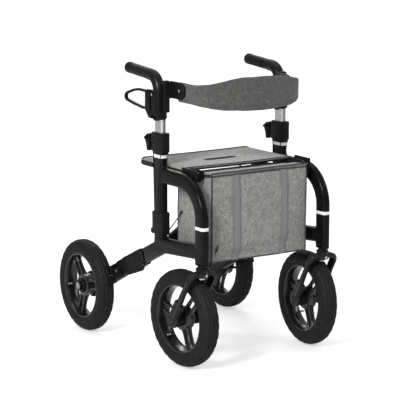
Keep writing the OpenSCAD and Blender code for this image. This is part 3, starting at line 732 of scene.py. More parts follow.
def levers_side(side):
    """Brake lever loop, the beak of the height clamp, and the brake arm with its shoe."""
    loop = [(-66, 816, 6), (2, 817, 18), (31, 812, 22), (73, 799, 12), (82, 787, 7), (73, 778, 10),
            (27, 770, 22), (-26, 763, 22), (-66, 767, 6)]
    path = [(HANDLE_X, y, z) for y, z in fillet(loop, 10)]
    lever = Shape(sweep(path, rounded_rect(12, 8, 3.2, 4), closed=True))
    lever.add(plate(fillet([(-92, 781, 9), (-60, 776, 4), (-58, 806, 4), (-92, 799, 9)]), 219, 231, 2.2))
    lever.add(x_rod(11, 219, 231, *LEVER_PIVOT, edge=1.5))
    # finger ribs under the lower bar
    for k in range(9):
        t = k / 8
        y, z = 24 + 44 * t, 767.2 + 8.2 * t
        lever.add(block((220.4, y - 1.3, z - 2.2), (229.6, y + 1.3, z + 1.5), 0.8))
    side_piece("brake_lever", lever, PLASTIC, side, "brake_grip")

    beak = fillet([(-74, 676, 6), (-65, 689, 6), (-56, 684, 4), (-39, 674, 2.5), (-50, 668, 8),
                   (-56, 655, 12), (-60, 636, 3), (-70, 636, 3), (-75, 658, 10)], 10)
    clamp = Shape()
    for x0, x1 in ((211, SIDE_X - 5.4), (SIDE_X + 5.4, 237)):
        clamp.add(plate(beak, x0, x1, 2.2))
        clamp.add(x_rod(9, x0, x1, *CLAMP_PIVOT, edge=1.2))
    low = fillet([(-75, 662, 4), (-56, 662, 6), (-60, 636, 3), (-70, 636, 3)])
    clamp.add(plate(low, 213, 235, 2.2))
    for k in range(4):
        clamp.add(block((214.5, -60.6, 640 + 4.6 * k), (233.5, -58.6, 642 + 4.6 * k), 0.8))
    side_piece("height_lever", clamp, PLASTIC, side, "clamp_lever")

    arm = Shape(plate(fillet([(88, 229, 8), (93, 213, 4), (99, 196, 6), (114, 201, 6), (112, 222, 8),
                              (101, 236, 9)]), 239.5, 257.5, 2.5))
    arm.add(x_rod(10, 239.5, 257.5, *BRAKE_PIVOT, edge=1.5))
    a0, a1 = math.radians(146.5), math.radians(167.5)
    angles = [a0 + (a1 - a0) * k / 12 for k in range(13)]
    shoe = [(REAR_Y + r * math.cos(a), WHEEL_R + r * math.sin(a))
            for r, seq in ((WHEEL_R + 2.5, angles), (WHEEL_R + 14.5, angles[::-1])) for a in seq]
    shoe = [p for p in shoe if 89 <= p[0] <= 131 and 179 <= p[1] <= 213]
    arm.add(plate(shoe, 251.5, 285.5, 1.8))
    arm.add(screw(257.5, *BRAKE_PIVOT, 5.5, 2.5), 1)
    side_piece("brake_arm", arm, [PLASTIC, STEEL], side, "brake_shoe")


# ---------- wheels and forks ----------

def tyre_grid(ring_r, r, wall_in, n_around=120):
    """Tyre with a zigzag block tread and ribbed sidewalls, made from a grid of real geometry."""
    n_sec = 60
    a0, a1 = math.radians(-146), math.radians(146)
    rings = []
    for i in range(n_around):
        turn = 2 * math.pi * i / n_around
        ring = []
        for k in range(n_sec + 1):
            a = a0 + (a1 - a0) * k / n_sec
            depth = 0.0
            deg = abs(math.degrees(a))
            if deg < 52:
                # three zigzag grooves, and short cross cuts towards the shoulders
                wave = 3.2 * (abs(((i + 1) % 4) - 2) - 1)
                for centre in (-26, 0, 26):
                    if abs(math.degrees(a) - centre - wave) < 3.6:
                        depth = 2.0
                if deg > 34 and i % 4 == 0:
                    depth = 1.3
            elif deg < 60:
                depth = 0.5 if i % 4 else 1.5
            elif 84 < deg < 88 or 104 < deg < 108:
                depth = -0.7
            # a little squarer than a circle
            square = (abs(math.sin(a)) ** 2.45 + abs(math.cos(a)) ** 2.45) ** (-1 / 2.45) if deg < 135 else 1
            rr = (r - 0.2) * square - depth
            x = rr * math.sin(a)
            radial = ring_r + rr * math.cos(a)
            ring.append((x, radial * math.sin(turn), radial * math.cos(turn)))
        # inner face, a wall's thickness in
        for k in range(n_sec, -1, -6):
            a = a0 + (a1 - a0) * k / n_sec
            x = (r - wall_in) * math.sin(a)
            radial = ring_r + (r - wall_in) * math.cos(a)
            ring.append((x, radial * math.sin(turn), radial * math.cos(turn)))
        rings.append(ring)
    return loft(rings, closed=True)


def rim_shape(spoke_turn):
    """Deep moulded rim with lips, a centre ring and three pairs of tapered spokes."""
    half = 24
    lip = [(half, BEAD_R), (half, RIM_IN_R + 8), (half - 1, RIM_IN_R + 5.5), (half - 4, RIM_IN_R + 4),
           (10, RIM_IN_R + 0.8), (5, RIM_IN_R)]
    profile = [(-x, r) for x, r in lip] + lip[::-1]
    profile += [(half - 2.5, BEAD_R + 1.4), (half - 5, BEAD_R), (-half + 5, BEAD_R),
                (-half + 2.5, BEAD_R + 1.4)]
    rim = Shape(lathe(profile, 144))
    ring = [(15, 24.2), (15, 33), (13.5, 35.4), (9, 36), (6, 34.6)]
    rim.add(lathe([(-x, r) for x, r in ring] + ring[::-1], 72))
    for i in range(3):
        base = math.radians(spoke_turn + 120 * i)
        for side in (-1, 1):
            rings = []
            for k in range(9):
                t = k / 8
                r = 30 + (RIM_IN_R + 5 - 30) * t
                flare = 5.5 * max(0, t - 0.8) / 0.2 * 0.5 + 2.5 * max(0, 0.2 - t) / 0.2
                waist = math.sin(math.pi * t)
                w, d = 9 + flare - 1.2 * waist, 18 - 3.5 * waist + flare
                offset = side * (12 + 1.5 * max(0, t - 0.7) / 0.3)
                section = rounded_rect(d, w, 3.2, 3)
                rings.append([(u, (offset + v) * math.cos(base) + r * math.sin(base),
                               -(r * math.cos(base)) + (offset + v) * math.sin(base)) for u, v in section])
            rim.add(loft(rings))
        # web between the two spokes of a pair at the rim
        web = []
        for r in (RIM_IN_R - 9, RIM_IN_R + 3):
            w = 15 if r < RIM_IN_R else 30
            web.append([(u, v * math.cos(base) + r * math.sin(base), -r * math.cos(base) + v * math.sin(base))
                        for u, v in rounded_rect(8, w, 2.5, 3)])
        rim.add(loft(web))
    # raised beads round the centre ring
    for i in range(12):
        a = 2 * math.pi * i / 12 + 0.26
        rim.add(at(lathe([(-15.6, 0), (-15.6, 1.6), (15.6, 1.6), (15.6, 0)], 10),
                   0, 30 * math.sin(a), 30 * math.cos(a)))
    return rim


def valve(spoke_turn):
    """Tyre valve on the rim's inner face, bent towards the outer side."""
    a = math.radians(spoke_turn + 62)
    radial = Vector((0, math.sin(a), -math.cos(a)))
    base = radial * (RIM_IN_R + 1)
    points = [base - radial * inward + Vector((out, 0, 0))
              for inward, out in ((0, 0), (6, 0), (11, 3), (14, 10), (15, 19))]
    line = smooth_path(points, 2.5)
    tip = (line[-1] - line[-2]).normalized()
    cap = tube([line[-1] - tip * 7, line[-1] + tip], 3.6, 14, (0, 1, 0))
    return tube(line, 2.7, 14, (0.3, 1, 0.2)), cap


def studs(profile, n, count, r, shift=0.0, places=(0,)):
    """Small turned parts in a circle about the X axis."""
    out = []
    for i in range(count):
        a = 2 * math.pi * (i + shift) / count
        out += [at(lathe(profile, n), x, r * math.sin(a), r * math.cos(a)) for x in places]
    return out


def wheel_side(side, where):
    """Tyre, rim with its valve, and hub of one wheel."""
    front = where == "front"
    turn = -20 if front else 20
    if front:
        place = CASTER @ Matrix.Translation((0, TRAIL, WHEEL_R))
    else:
        place = Matrix.Translation((REAR_X, REAR_Y, WHEEL_R))
    tyre = Shape(moved(tyre_grid(RING_R, TYRE_W / 2, 5.5), place))
    side_piece(f"{where}_tyre", tyre, RUBBER, side, f"{where}_wheel", 28)
    rim = rim_shape(turn)
    stem, cap = valve(turn)
    rim.add(stem, 1)
    rim.add(cap, 2)
    rim.move(place)
    side_piece(f"{where}_rim", rim, [RIM, RUBBER, BRASS], side, f"{where}_wheel", 35)
    if front:
        half = [(37.6, 0), (37.6, 14), (36.8, 15.5), (33, 16), (30, 21), (28, 23), (15.2, 24)]
        hub = Shape(lathe([(-x, r) for x, r in half] + half[::-1], 64))
        for stud in studs([(-4, 0), (-4, 2), (4, 2), (4, 0)], 8, 6, 23.3, places=(-22, 22)):
            hub.add(stud)
        materials = [PLASTIC]
    else:
        hub = Shape(lathe([(-32, 0), (-32, 40), (-30.5, 42), (-20, 42), (-18, 40.5), (-16.5, 30),
                           (-15.2, 24), (15, 24), (21, 23.5), (24, 21.5), (24, 15), (30.5, 14.9),
                           (32, 13.6), (32, 0)], 72))
        hub.add(lathe([(31, 0), (31, 11.6), (32.35, 11.4), (32.5, 10.6), (32.5, 0)], 48), 1)
        for stud in studs([(-31, 0), (-31, 1.8), (-21, 1.8), (-21, 0)], 8, 18, 41.4):
            hub.add(stud)
        for stud in studs([(20, 0), (20, 2.4), (25, 2.4), (25, 0)], 12, 3, 18.2, 0.5):
            hub.add(stud, 2)
        materials = [PLASTIC, BADGE, STEEL]
    hub.move(place)
    side_piece(f"{where}_hub", hub, materials, side, f"{where}_wheel")


def fork_side(side):
    """Moulded fork with rounded blades and a crown, its axle bolt and the caster's bearing."""
    place = CASTER
    fork = Shape()
    for x in (-1, 1):
        # from the stem out over the shoulder, and down the blade to the axle
        line = smooth_path([(x * 4, -3, 303.5), (x * 20, -4, 304.5), (x * 35, -2, 301), (x * 43.5, 6, 286),
                            (x * 44, 22, 259), (x * 44, 54, 205), (x * 44, 72, 174), (x * 44, 86, 150)], 7)
        count = len(line) - 1
        sections = []
        for k in range(count + 1):
            t = k / count
            w = 26 + 8 * max(0, t - 0.45) / 0.55 - 3 * math.exp(-((t - 0.4) / 0.15) ** 2)
            sections.append(rounded_rect(w, 13 + 3 * max(0, 0.25 - t) / 0.25, 5.4, 4))
        fork.add(sweep(line, sections, up=(0, -1, 0)))
        dropout = [(-6.2, 0), (-6.2, 22), (-4.6, 24.8), (3.6, 24.8), (6, 22.6), (6, 14), (4.8, 13), (4.8, 0)]
        fork.add(at(lathe([(x * px, r) for px, r in dropout], 56), x * 44, TRAIL, WHEEL_R))
        # sleeve round the blade's lower end
        cuff = smooth_path([(x * 44, 52, 208), (x * 44, 78, 164)], 5)
        fork.add(sweep(cuff, [rounded_rect(36 + 2 * math.sin(math.pi * k / (len(cuff) - 1)), 15.5, 5.5, 4)
                              for k in range(len(cuff))], up=(0, -1, 0)))
        rib = [(x * 50.4, 20 + 26 * k / 8, 262 - 44 * k / 8) for k in range(9)]
        fork.add(tube(rib, 2.0, 10, (1, 0, 0)))
    fork.add(z_turn([(291, 0), (291, 15), (293, 19), (296, 20.5), (307, 20.5), (311, 18), (314.5, 15.5),
                     (314.5, 0)], 0, 0))
    fork.add(z_turn([(314, 0), (314, 8), (374, 8), (375, 7), (375, 0)], 0, 0, 24), 1)
    fork.add(z_turn([(284.5, 0), (284.5, 7.5), (285.5, 9), (291.2, 9), (291.2, 0)], 0, 0, 6), 1)
    front_bolt = Matrix(((0, 1, 0, 0), (1, 0, 0, 0), (0, 0, 1, 299.5), (0, 0, 0, 1)))
    fork.add(moved(lathe([(-23.5, 0), (-23.5, 2.6), (-22.5, 4.2), (-19, 4.2), (-19, 0)], 24), front_bolt), 1)
    fork.move(place)
    side_piece("fork", fork, [FORK_PAINT, STEEL], side, "caster")

    axle = Shape(x_rod(6, -49, 49, TRAIL, WHEEL_R))
    head = [(48.8, 0), (48.8, 10.5), (50.4, 10.6), (51, 9), (54.4, 8.2), (55, 7.0), (55, 3.8),
            (52.6, 3.6), (52.6, 0)]
    for sign in (-1, 1):
        axle.add(at(lathe([(sign * px, r) for px, r in head], 36), 0, TRAIL, WHEEL_R))
    axle.move(place)
    side_piece("front_axle", axle, BLACK_STEEL, side, "caster")

    bearing = Shape(z_turn([(315.1, 8.2), (315.1, 18.2), (316, 19), (319, 19), (320, 17.6),
                            (320.6, 14), (325, 13), (325, 8.2)], SIDE_X, FRONT_Y))
    side_piece("caster_bearing", bearing, PLASTIC, side, "side")
    rear = Shape(x_rod(6, FRAME_IN, 294.6, REAR_Y, WHEEL_R))
    side_piece("rear_axle", rear, STEEL, side, "side")


# ---------- cross arms, rails and catches ----------

def y_turn(profile, x, z, n=32):
    """Turned shape about an axis along Y, from (y, r) points."""
    lay = Matrix(((0, 1, 0, x), (1, 0, 0, 0), (0, 0, 1, z), (0, 0, 0, 1)))
    return moved(lathe(profile, n), lay)


def fold_parts():
    """The two cross arms with the seat rails they carry, and their bolt."""
    rise = RAIL_Z - ARM_PIVOT_Z
    for name, side in (("a", "left"), ("b", "right")):
        # drawn for arm b's mirror image: pivot at -X, rail at +X
        angle = math.atan2(rise, 2 * RAIL_X)
        length = math.hypot(rise, 2 * RAIL_X)
        c, s = math.cos(angle), math.sin(angle)
        outline = []
        for u, v in fillet([(20, -15, 6), (length - 20, -15, 6), (length - 20, 15, 6), (20, 15, 6)]):
            outline.append((-RAIL_X + u * c - v * s, ARM_PIVOT_Z + u * s + v * c))
        bar = Shape(moved(plate(outline, -12, 12, 5), TO_FRONT))
        for u in (0, length):
            px, pz = -RAIL_X + u * c, ARM_PIVOT_Z + u * s
            eye = [(-11.8, 0), (-11.8, 9.2), (11.8, 9.2), (11.8, 0)]
            if u == 0:
                eye = [(-12, 0), (-12, 9.6), (-10.8, 10.8), (10.8, 10.8), (12, 9.6), (12, 0)]
            bar.add(y_turn(eye, px, pz))
            d = 1 if u == 0 else -1
            link = [(px + a * c * d - b * s, pz + a * s * d + b * c) for a, b in
                    ((0, -8.6), (27, -8.6), (27, 8.6), (0, 8.6))]
            if d < 0:
                link.reverse()
            bar.add(moved(plate(link, -11.6, 11.6, 1.2), TO_FRONT))
        # moulded bush and washer at the middle
        bar.add(y_turn([(-12.4, 5.2), (-12.4, 13), (12.4, 13), (12.4, 5.2)], 0, CROSS_Z), 1)
        shift = Matrix.Translation((0, ARM_Y[name] - 12, 0))
        bar.move(shift)
        # arm a pivots at -X as drawn; arm b is its mirror image
        body = f"arm_{name}"
        attach(build(f"cross_arm_{name}", bar, [PAINT, PLASTIC], "left" if name == "a" else "right"), body,
               [f"cross_arm_{name}"])
        rail = Shape(y_turn([(-290, 0), (-290, 8.6), (-288.5, 10), (24, 10), (25, 9), (25, 0)],
                            RAIL_X, RAIL_Z))
        plug = [(-291, 0), (-291, 8.4), (-290.2, 9.6), (-286, 10.2), (-285.5, 9.8), (-285.5, 0)]
        rail.add(y_turn(plug, RAIL_X, RAIL_Z), 1)
        attach(build(f"seat_rail_{side}", rail, [HANDLE, PLASTIC], side), body,
               [f"{side}_seat_rail"])
    bolt = Shape(y_turn([(-120.5, 0), (-120.5, 6.5), (-119.6, 8.6), (-116.6, 9), (-116.6, 5), (-66, 5),
                         (-66, 9), (-64, 8.6), (-63.5, 6.5), (-63.5, 0)], 0, CROSS_Z))
    attach(build("cross_bolt", bolt, STEEL), "arm_a", ["cross_bolt"])


def catch_side(side):
    """Cradle on the frame that the seat rail drops into."""
    outline = [(-15 + RAIL_X, 568, 4), (RAIL_X + 17, 566, 2), (RAIL_X + 17, 602, 2),
               (RAIL_X + 10.6, 602, 1.5), (RAIL_X + 10.6, RAIL_Z, 0)]
    points = fillet(outline, 5)[:-1]
    points += [(RAIL_X + 10.6 * math.cos(a), RAIL_Z + 10.6 * math.sin(a)) for a in
               [-math.pi * k / 14 for k in range(15)]]
    points += fillet([(RAIL_X - 10.6, RAIL_Z, 0), (RAIL_X - 10.6, 602, 1.2), (RAIL_X - 15, 599, 2),
                      (RAIL_X - 15, 575, 0)], 5)
    cradle = Shape(moved(plate(points, -294, -226, 1.2), TO_FRONT))
    cradle.add(block((207, -300, 560), (211.5, -220, 604), 1.5))
    for y in (-288, -232):
        cradle.add(inner_screw(207, y, 597, 3.4, 1.2), 1)
    side_piece("seat_catch", cradle, [PLASTIC, STEEL], side, "side")


# ---------- soft parts ----------

def inflate(obj, voxel, pressure, cap, pins=None, gravity=0.0, frames=20, remesh=True):
    """Swells a cloth copy of the mesh and keeps the result, with every point's travel capped."""
    scene = bpy.context.scene
    bpy.context.view_layer.objects.active = obj
    if remesh:
        mod = obj.modifiers.new("remesh", "REMESH")
        mod.mode, mod.voxel_size, mod.use_smooth_shade = "VOXEL", voxel, True
        apply_modifiers(obj)
    before = np.array([v.co for v in obj.data.vertices])
    mod = obj.modifiers.new("cloth", "CLOTH")
    settings = mod.settings
    settings.quality, settings.mass = 6, 0.25
    settings.tension_stiffness = settings.compression_stiffness = 22
    settings.shear_stiffness, settings.bending_stiffness = 12, 4
    settings.tension_damping = settings.compression_damping = 12
    settings.use_pressure, settings.uniform_pressure_force = True, pressure
    settings.effector_weights.gravity = gravity
    if pins is not None:
        group = obj.vertex_groups.new(name="pins")
        group.add(pins, 1.0, "REPLACE")
        settings.vertex_group_mass = "pins"
    mod.point_cache.frame_start, mod.point_cache.frame_end = 1, frames
    for f in range(1, frames + 1):
        scene.frame_set(f)
    depsgraph = bpy.context.evaluated_depsgraph_get()
    after = np.array([v.co for v in obj.evaluated_get(depsgraph).data.vertices])
    obj.modifiers.remove(mod)
    scene.frame_set(1)
    move = after - before
    length = np.linalg.norm(move, axis=1, keepdims=True)
    move *= np.minimum(1, cap * MM / np.maximum(length, 1e-9))
    obj.data.vertices.foreach_set("co", (before + move).ravel())
    obj.data.update()
    return obj


def apply_modifiers(obj):
    """Replaces the mesh by its evaluated form and drops the modifiers."""
    mesh = bpy.data.meshes.new_from_object(obj.evaluated_get(bpy.context.evaluated_depsgraph_get()))
    old = obj.data
    obj.modifiers.clear()
    obj.data = mesh
    bpy.data.meshes.remove(old)
    return obj


def subdivide(obj, levels=1):
    mod = obj.modifiers.new("smooth", "SUBSURF")
    mod.levels = mod.render_levels = levels
    apply_modifiers(obj)
    obj.data.polygons.foreach_set("use_smooth", np.ones(len(obj.data.polygons), bool))
    return obj


def strip(path, normals, width_dir, width, thick, lift=0.6):
    """Flat strap along a path: width along width_dir, lying lift above the surface."""
    rings = []
    for p, n in zip(path, normals):
        p, n = Vector(p), Vector(n).normalized()
        w = Vector(width_dir)
        w = (w - n * w.dot(n)).normalized()
        centre = p + n * (lift + thick / 2)
        rings.append([centre + w * a + n * b for a, b in rounded_rect(width, thick, thick * 0.45, 3)])
    return loft(rings)


def stitches(points, normals, spacing=5.0, length=3.2, r=0.42):
    """Row of short thread stitches lying along a path."""
    pts = [Vector(p) for p in points]
    out = []
    travelled, goal = 0.0, spacing / 2
    for i in range(len(pts) - 1):
        seg = pts[i + 1] - pts[i]
        size = seg.length
        while travelled + size >= goal and size > 0:
            t = (goal - travelled) / size
            centre, d = pts[i] + seg * t, seg.normalized()
            n = Vector(normals[i]).normalized()
            ends = [centre - d * length / 2 + n * 0.1, centre + n * 0.45, centre + d * length / 2 + n * 0.1]
            out.append(tube(ends, r, 5, n))
            goal += spacing
        travelled += size
    return out


def onto(obj, points, directions, lift=0.0):
    """The points moved onto the piece's surface, seen from outside along the directions, with its normals."""
    verts = [v.co / MM for v in obj.data.vertices]
    tree = BVHTree.FromPolygons(verts, [tuple(p.vertices) for p in obj.data.polygons])
    found, normals = [], []
    for p, d in zip(points, directions):
        p, d = Vector(p), Vector(d).normalized()
        hit, normal, _, _ = tree.ray_cast(p + d * 40, -d, 80)
        if hit is None:
            hit, normal = p, d
        found.append(hit + d * lift)
        normals.append(normal if normal.dot(d) > 0 else d)
    return found, normals


def evened(points, passes=3):
    """The line with its small bumps averaged out, ends kept."""
    pts = [Vector(p) for p in points]
    for _ in range(passes):
        inner = [(pts[i - 1] + pts[i] * 2 + pts[i + 1]) / 4 for i in range(1, len(pts) - 1)]
        pts = [pts[0]] + inner + [pts[-1]]
    return pts


SEAT_HALF, SEAT_FRONT, SEAT_REAR, SEAT_Z = 204, -222, 27, 600
SLOT_Y = -113


def seat_sag(x, y):
    u, v = x / 190, (y + 97.5) / 124.5
    return 2.4 * max(0, 1 - u * u) * (0.6 + 0.4 * max(0, 1 - v * v))


def seat_top(x, y):
    """Height of the fabric, which sags in the middle and drops over the rails."""
    return SEAT_Z - 1.2 - seat_sag(x, y) - 5.5 * (max(0, abs(x) - 192) / 12) ** 2


def make_seat():
    """Fabric panel stretched between the two rails, hemmed, with a slot for the hand."""
    nx, ny = 68, 42
    bm = bmesh.new()
    grid = {}
    xs = [-SEAT_HALF + 0.5 + (2 * SEAT_HALF - 1) * i / nx for i in range(nx + 1)]
    ys = [SEAT_FRONT + (SEAT_REAR - SEAT_FRONT) * j / ny for j in range(ny + 1)]
    # rows that follow the slot's edges
    ys = sorted(set([y for y in ys if abs(y - SLOT_Y) > 9] + [-120.5, -118, SLOT_Y, -108, -105.5]))
    for i, x in enumerate(xs):
        for j, y in enumerate(ys):
            grid[i, j] = bm.verts.new((x * MM, y * MM, seat_top(x, y) * MM))
    for i in range(len(xs) - 1):
        for j in range(len(ys) - 1):
            cx, cy = (xs[i] + xs[i + 1]) / 2, (ys[j] + ys[j + 1]) / 2
            if not (abs(cy - SLOT_Y) < 7 and abs(cx) < 47):
                bm.faces.new((grid[i, j], grid[i + 1, j], grid[i + 1, j + 1], grid[i, j + 1]))
    bmesh.ops.delete(bm, geom=[v for v in bm.verts if not v.link_faces], context="VERTS")
    mesh = bpy.data.meshes.new("seat_fabric")
    bm.to_mesh(mesh)
    bm.free()
    mesh.materials.append(SEAT_CLOTH)
    obj = bpy.data.objects.new("seat_fabric", mesh)
    bpy.context.scene.collection.objects.link(obj)
    mod = obj.modifiers.new("thick", "SOLIDIFY")
    mod.thickness, mod.offset = 0.0022, -1
    apply_modifiers(obj)
    obj.data.polygons.foreach_set("use_smooth", np.ones(len(obj.data.polygons), bool))
    obj.data.set_sharp_from_angle(angle=math.radians(50))

    edges = Shape()
    up = (0, 0, 1)
    for y, w in ((SEAT_FRONT + 6, 10), (SEAT_REAR - 5, 9)):
        line = [(x, y, seat_top(x, y)) for x in [-203 + 406 * k / 60 for k in range(61)]]
        edges.add(strip(line, [up] * 61, (0, 1, 0), w, 1.5, 0.1), 0)
        for side in (-1, 1):
            row = [(x, y + side * (w / 2 - 2.5), z + 1.6) for x, y, z in line[2:-2]]
            for stitch in stitches(row, [up] * len(row)):
                edges.add(stitch, 1)
    # rolled front and rear edges
    for y, r in ((SEAT_FRONT + 4, 4.6), (SEAT_REAR - 3.5, 3.4)):
        line = [(x, y, SEAT_Z - 4.8 - seat_sag(x, y)) for x in [-190 + 380 * k / 50 for k in range(51)]]
        edges.add(tube(line, r, 14, (0, 0, 1)), 0)
    # short strap that hangs from the front edge
    hang = [(-6, -218, 592), (0, -221.4, 588.5), (9, -222.4, 586), (22, -222.8, 585)]
    line = smooth_path(hang, 3)
    edges.add(strip(line, [(0, -0.7, 0.7)] * len(line), (1, 0, -0.2), 9, 1.4, 0), 0)
    # bound edge of the slot
    ring = [(cx + 7.4 * math.cos(a), SLOT_Y + 7.4 * math.sin(a))
            for cx, seq in ((47, range(-6, 7)), (-47, range(6, 19)))
            for a in [math.pi / 12 * k for k in seq]]
    ring = [(x, y, SEAT_Z - 1.6 - seat_sag(x, y)) for x, y in ring]
    edges.add(sweep(ring, circle(2.2, 10), (0, 0, 1), closed=True), 0)
    row = [(x * 1.07, SLOT_Y + (y - SLOT_Y) * 1.55, z + 1.0) for x, y, z in [*ring, ring[0]]]
    for stitch in stitches(row, [up] * len(row), 4.5):
        edges.add(stitch, 1)
    hems = build("seat_hems", edges, [STRAP_BLACK, THREAD])

    # sleeves that wrap the rails
    sleeves = []
    for side in (-1, 1):
        path = [(side * RAIL_X, y, RAIL_Z) for y in np.linspace(SEAT_FRONT, SEAT_REAR - 1, 42)]
        rings = []
        for i, p in enumerate(path):
            ring = []
            for k in range(28):
                a = 2 * math.pi * k / 28
                r = min(11.0 + 0.25 * math.sin(9 * a + i) + 0.2 * math.sin(i * 1.7), 11.2)
                ring.append((p[0] + r * math.cos(a), p[1], p[2] + r * math.sin(a)))
            rings.append(ring)
        name = "left" if side > 0 else "right"
        wrap = build(f"seat_sleeve_{name}", loft(rings, caps=False), STRAP_BLACK)
        mod = wrap.modifiers.new("thick", "SOLIDIFY")
        mod.thickness, mod.offset = 0.0009, -1
        apply_modifiers(wrap)
        sleeves.append((wrap, "arm_a" if side > 0 else "arm_b"))
    for piece in (obj, hems):
        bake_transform(piece)
    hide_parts("seat")
    for piece, body in sleeves:
        attach(piece, body)


# the bag's outline seen from above, and its sloping top
BAG_X, BAG_FRONT, BAG_REAR, BAG_BOTTOM = 176, -330, -135, 317


def lid_z(y):
    return 597 - 25 * (y - BAG_FRONT) / (BAG_REAR - BAG_FRONT)


def bag_outline(inset=0.8, r=13.0, step=8.0):
    """Points round the bag from above, starting at the middle of the rear, and each one's outward normal."""
    w, d = 2 * (BAG_X - inset), BAG_REAR - BAG_FRONT - 2 * inset
    cy = (BAG_REAR + BAG_FRONT) / 2
    corners = [(w / 2, d / 2), (w / 2, -d / 2), (-w / 2, -d / 2), (-w / 2, d / 2)]
    pts, tags = [], []

    def line(a, b):
        n = max(1, int(round(math.dist(a, b) / step)))
        for k in range(n):
            pts.append((a[0] + (b[0] - a[0]) * k / n, cy + a[1] + (b[1] - a[1]) * k / n))
            tags.append("flat")

    start = (0, d / 2)
    angles = [90, 0, -90, -180]
    for i, (x, y) in enumerate(corners):
        a0 = math.radians(angles[i])
        centre = (x - math.copysign(r, x), y - math.copysign(r, y))
        first = (centre[0] + r * math.cos(a0), centre[1] + r * math.sin(a0))
        line(start, first)
        for k in range(5):
            a = a0 - math.pi / 2 * k / 5
            pts.append((centre[0] + r * math.cos(a), cy + centre[1] + r * math.sin(a)))
            tags.append("corner" if k == 2 else "bend")
        a = a0 - math.pi / 2
        start = (centre[0] + r * math.cos(a), centre[1] + r * math.sin(a))
    line(start, (0, d / 2))
    return pts, tags


